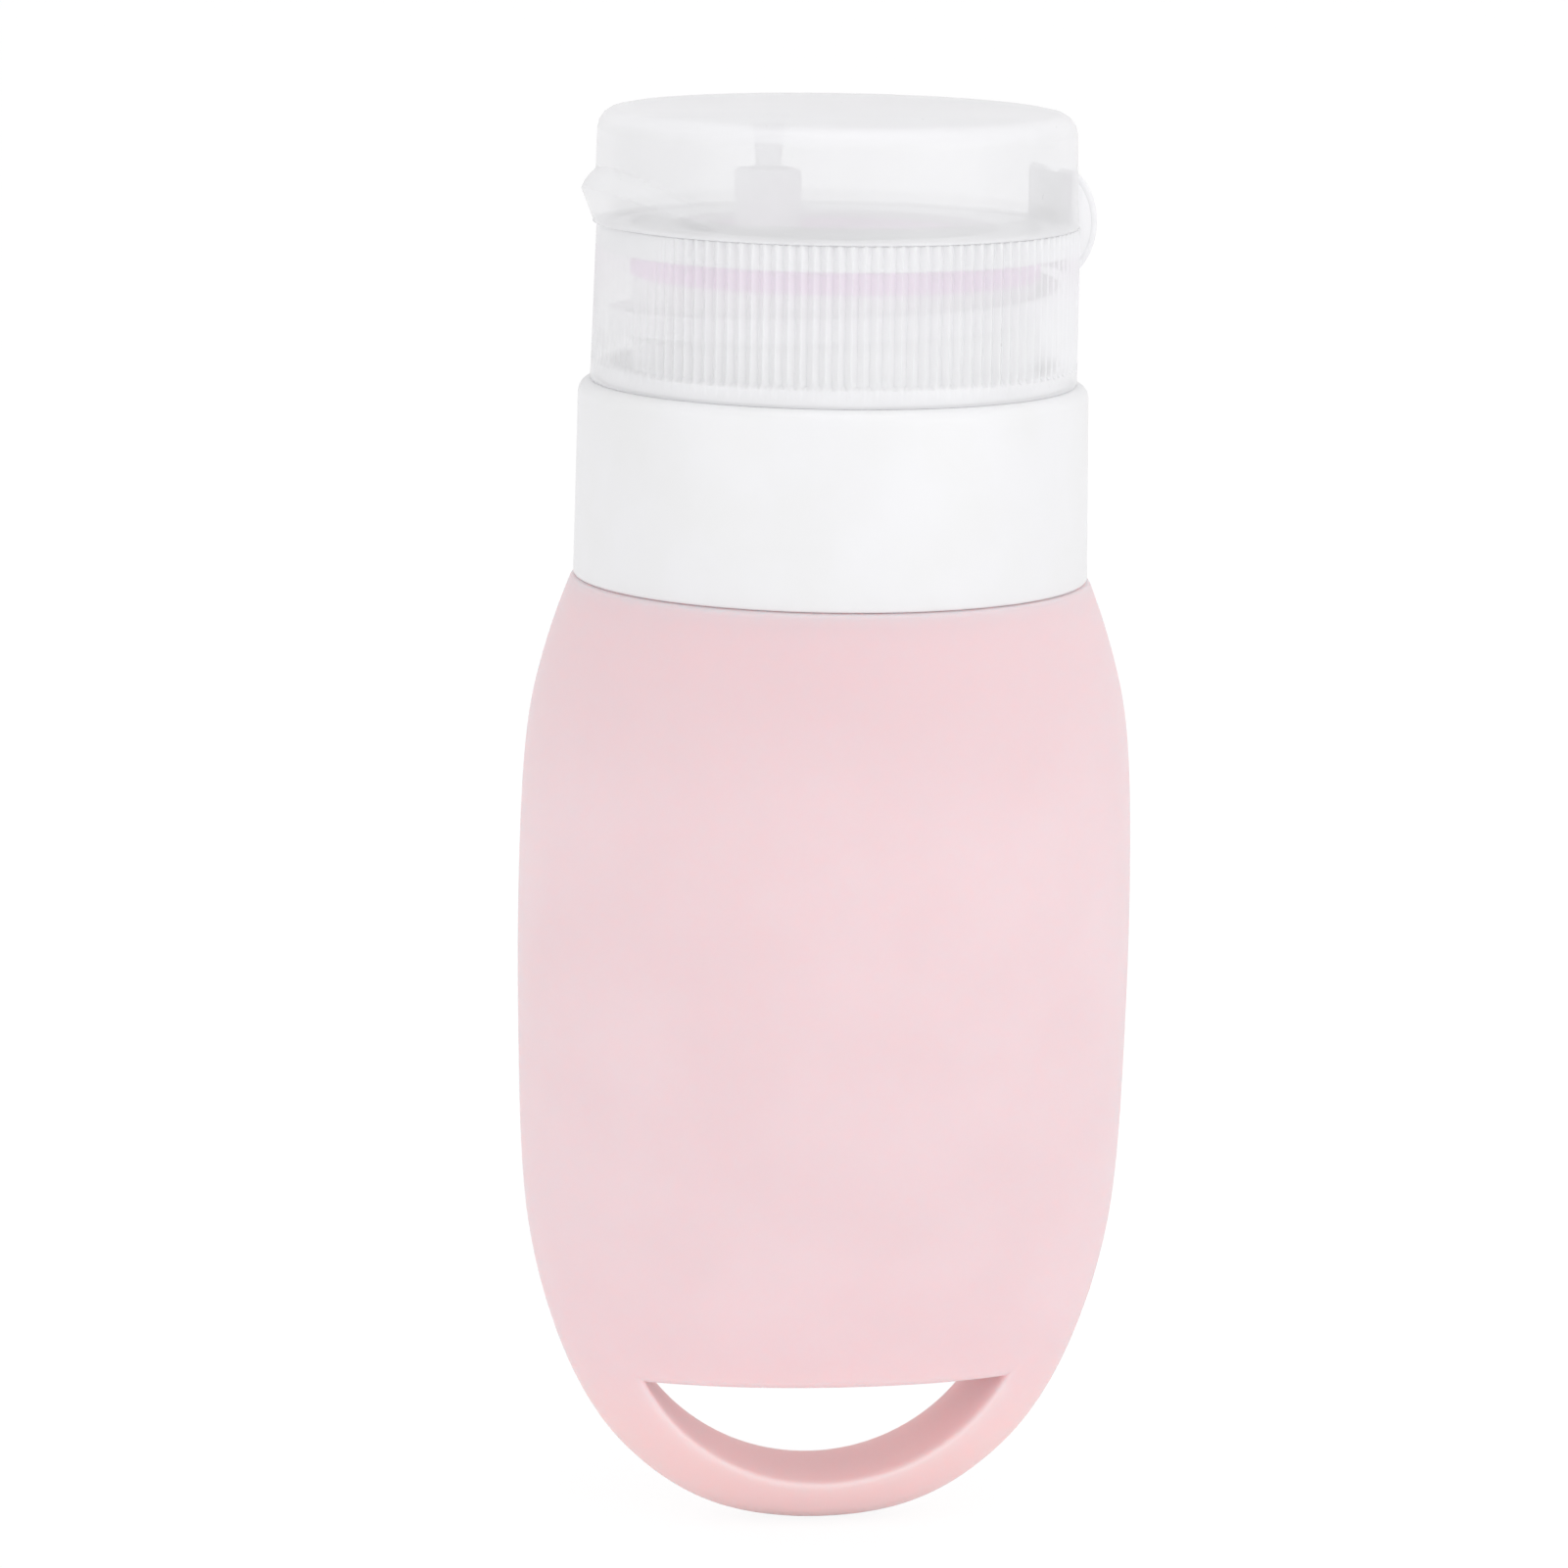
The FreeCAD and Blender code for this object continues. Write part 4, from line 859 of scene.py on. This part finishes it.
def silicone(name, colours, tint_and_painted_shade_zones, scatter_share):
    """Moulded silicone rubber: a soft matte skin that lets light in, its colour blended by height in bands,
    which can hold painted shade.
    """
    material, tree, output, place = new_material(name)
    colour = flow_cloud(tree, place, colours, SILICONE_CLOUD)
    height = add(tree, "ShaderNodeSeparateXYZ", links={0: place}).outputs["Z"]
    # Each band blends its colour in by height; the shoulder's band is painted shade
    for start, end, shade in tint_and_painted_shade_zones:
        zone = add(
            tree, "ShaderNodeMapRange",
            {"interpolation_type": "SMOOTHSTEP", "From Min": start * MM, "From Max": end * MM},
            {"Value": height}).outputs["Result"]
        colour = add(
            tree, "ShaderNodeMix", {"data_type": "RGBA", 7: linear(shade)}, {0: zone, 6: colour}).outputs[2]
    grain = mould_grain(
        tree, place, SILICONE_GRAIN, SILICONE_BUMP_SHARE, SILICONE_GRAIN_DEPTH, *SILICONE_ROUGHNESS)
    shader = add(tree, "ShaderNodeBsdfPrincipled", {
        "IOR": SILICONE_IOR, "Subsurface Weight": scatter_share,
        "Subsurface Radius": SILICONE_SCATTER_REACH, "Subsurface Scale": MM,
        "Sheen Weight": SILICONE_SHEEN_SHARE, "Sheen Roughness": SILICONE_SHEEN_ROUGHNESS,
    }, {"Base Color": colour, **grain})
    tree.links.new(shader.outputs["BSDF"], output.inputs["Surface"])
    return material


def polypropylene(name, colours, grain_size, roughness, cover_share=1.0, scatter_share=0.0):
    """Moulded polypropylene: a waxy satin skin with a faint flow cloud and the grain of its mould."""
    material, tree, output, place = new_material(name)
    colour = flow_cloud(tree, place, colours, POLYPROPYLENE_CLOUD)
    grain = mould_grain(
        tree, place, grain_size, POLYPROPYLENE_BUMP_SHARE, POLYPROPYLENE_GRAIN_DEPTH,
        roughness - POLYPROPYLENE_ROUGHNESS_SPREAD, roughness + POLYPROPYLENE_ROUGHNESS_SPREAD)
    shader = add(tree, "ShaderNodeBsdfPrincipled", {
        "IOR": POLYPROPYLENE_IOR, "Alpha": cover_share, "Subsurface Weight": scatter_share,
        "Subsurface Radius": POLYPROPYLENE_SCATTER_REACH, "Subsurface Scale": MM,
    }, {"Base Color": colour, **grain})
    tree.links.new(shader.outputs["BSDF"], output.inputs["Surface"])
    return material


# Soft, milky and matte, and light gets under its skin: warmer at the loop, and darker at the shoulder with
# painted shade for the shade under the collar
pink = silicone(
    "silicone_moulded_milky_pink", ("EED3D7", "F0D6DA"), (LOOP_ZONE, SHOULDER_PAINTED_SHADE_ZONE), scatter_share=0.85)
# Clear lavender pink, which shows through the milky cap as bands
lavender = silicone("silicone_moulded_lavender", ("F090E6", "F29AE9"), (), scatter_share=0.2)
# The same rubber in a deeper shade, seen through the deck and in the open spout
violet = silicone("silicone_moulded_violet", ("D878CF", "DC84D4"), (), scatter_share=0.2)
# Opaque satin white with soft shading on the round shoulder
white = polypropylene(
    "polypropylene_moulded_white", ("E8E8E9", "EAEAEC"), SATIN_GRAIN, SATIN_ROUGHNESS, scatter_share=0.15)
# Unpigmented plastic, painted a brighter white than its own as painted light for the dim inside behind the
# milky skin
natural_painted_light = polypropylene(
    "polypropylene_moulded_natural", ("FBFBFC", "FDFDFD"), SATIN_GRAIN, SATIN_ROUGHNESS, scatter_share=0.15)
# The cap's outer skin: hazy, with what lies behind it showing faintly
milky = polypropylene(
    "polypropylene_moulded_milky", ("FBFBFD", "FDFDFF"), MILKY_GRAIN, MILKY_ROUGHNESS, cover_share=0.68)
# The lid's outer skin, of the same plastic in a thinner wall, so a little clearer
milky_lid = polypropylene(
    "polypropylene_moulded_milky_lid", ("FBFBFD", "FDFDFF"), MILKY_GRAIN, MILKY_ROUGHNESS, cover_share=0.6)
# The same walls' inner faces: nearly clear, so that a wall's haze is counted once
milky_clear = polypropylene(
    "polypropylene_moulded_milky_clear", ("FAFAFC", "FCFCFE"), MILKY_GRAIN, MILKY_ROUGHNESS, cover_share=0.08)
# The same plastic where it is thick, which hides what lies behind it and looks white
milky_thick = polypropylene(
    "polypropylene_moulded_milky_thick", ("E9E9EB", "EBEBED"), MILKY_GRAIN, MILKY_ROUGHNESS)

make_silicone_body(pink)
make_collar(white)
make_neck(natural_painted_light)
make_gasket(lavender)
make_valve(violet)
make_cap([milky, milky_clear, milky_thick])
make_lid([milky_lid, milky_clear, milky_thick])
make_strap("hinge_band_left", "hinge_strap_left", -1, milky_thick)
make_strap("hinge_band_right", "hinge_strap_right", 1, milky_thick)
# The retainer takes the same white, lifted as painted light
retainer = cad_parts["valve_retainer"]
retainer.data.materials.clear()
retainer.data.materials.append(natural_painted_light)

# Stage: the floor in millimetres, the lamps and what they aim at in metres
PAPER_COLOUR = "F8F8F8"
PAPER_GLOW = 1.04
PAPER_LIFT_SHARE = 0.86
FLOOR_HALF = 4000
SOFT_LIGHT = 1.035
BACKDROP_LIGHT = 1.0
BODY_AIM = (0, 0, 0.045)
CAP_AIM = (0, 0, 0.09)


def mix_for_the_eye(tree, output, lighting, seen):
    """One shader lights the object; the other is what the camera, gloss and see-through surfaces show."""
    path = add(tree, "ShaderNodeLightPath").outputs
    flag = path["Is Camera Ray"]
    for socket in (path["Is Glossy Ray"], path["Is Transmission Ray"]):
        flag = add(tree, "ShaderNodeMath", {"operation": "MAXIMUM"}, {0: flag, 1: socket}).outputs[0]
    mixed = add(
        tree, "ShaderNodeMixShader", links={0: flag, 1: lighting.outputs[0], 2: seen.outputs[0]})
    tree.links.new(mixed.outputs[0], output.inputs["Surface"])


# White paper: it lights the object as paper does, and the eye sees it lifted to white with a faint shadow
floor_material, tree, output, _ = new_material("paper_rolled_white")
paper = add(tree, "ShaderNodeBsdfDiffuse", {"Color": linear(PAPER_COLOUR)})
glow = add(tree, "ShaderNodeEmission", {"Strength": PAPER_GLOW})
lifted = add(tree, "ShaderNodeMixShader", {0: PAPER_LIFT_SHARE}, {1: paper.outputs[0], 2: glow.outputs[0]})
mix_for_the_eye(tree, output, paper, lifted)

bm = bmesh.new()
bmesh.ops.create_grid(bm, x_segments=1, y_segments=1, size=FLOOR_HALF)
floor = make_piece(bm, "studio_floor", [floor_material])

world = bpy.data.worlds.new("studio")
bpy.context.scene.world = world
world.use_nodes = True
tree = world.node_tree
tree.nodes.clear()
output = add(tree, "ShaderNodeOutputWorld")
soft = add(tree, "ShaderNodeBackground", {"Strength": SOFT_LIGHT})
bright = add(tree, "ShaderNodeBackground", {"Strength": BACKDROP_LIGHT})
mix_for_the_eye(tree, output, soft, bright)


def add_softbox(name, place, aim, size, power):
    """Square studio softbox aimed at a point, all in metres and watts."""
    lamp = bpy.data.lights.new(name, "AREA")
    lamp.shape = "SQUARE"
    lamp.size = size
    lamp.energy = power
    holder = bpy.data.objects.new(name, lamp)
    holder.location = place
    holder.rotation_euler = (Vector(aim) - Vector(place)).to_track_quat("-Z", "Y").to_euler()
    bpy.context.scene.collection.objects.link(holder)


add_softbox("key_softbox", place=(0.52, -0.53, 0.15), aim=BODY_AIM, size=0.6, power=1.5)
add_softbox("top_softbox", place=(0.05, -0.1, 0.55), aim=CAP_AIM, size=0.4, power=0.5)
add_softbox("fill_softbox", place=(-0.6, -0.43, 0.12), aim=BODY_AIM, size=0.5, power=0.92)

# Camera at the photograph's place, in millimetres
IMAGE_SIDE = 1601
FOCAL_PIXELS = 6735
SENSOR_WIDTH = 36.0
CAMERA_AZIMUTH = math.radians(-7)
CAMERA_DISTANCE = 422.0
CAMERA_HEIGHT = 125.5
CAMERA_ASIDE = -2.76
CAMERA_PITCH = math.radians(10.25)
CAMERA_ROLL = math.radians(0.91)
camera_data = bpy.data.cameras.new("photo_camera")
camera_data.sensor_width = SENSOR_WIDTH
camera_data.lens = FOCAL_PIXELS / IMAGE_SIDE * SENSOR_WIDTH
camera = bpy.data.objects.new("photo_camera", camera_data)
turn = Matrix.Rotation(CAMERA_AZIMUTH, 4, "Z")
stand = Matrix.Translation(Vector((CAMERA_ASIDE, -CAMERA_DISTANCE, CAMERA_HEIGHT)) * MM)
look = Matrix.Rotation(math.pi / 2 - CAMERA_PITCH, 4, "X") @ Matrix.Rotation(CAMERA_ROLL, 4, "Z")
camera.matrix_world = turn @ stand @ look
bpy.context.scene.collection.objects.link(camera)
bpy.context.scene.camera = camera
bpy.context.scene.view_settings.view_transform = "Standard"
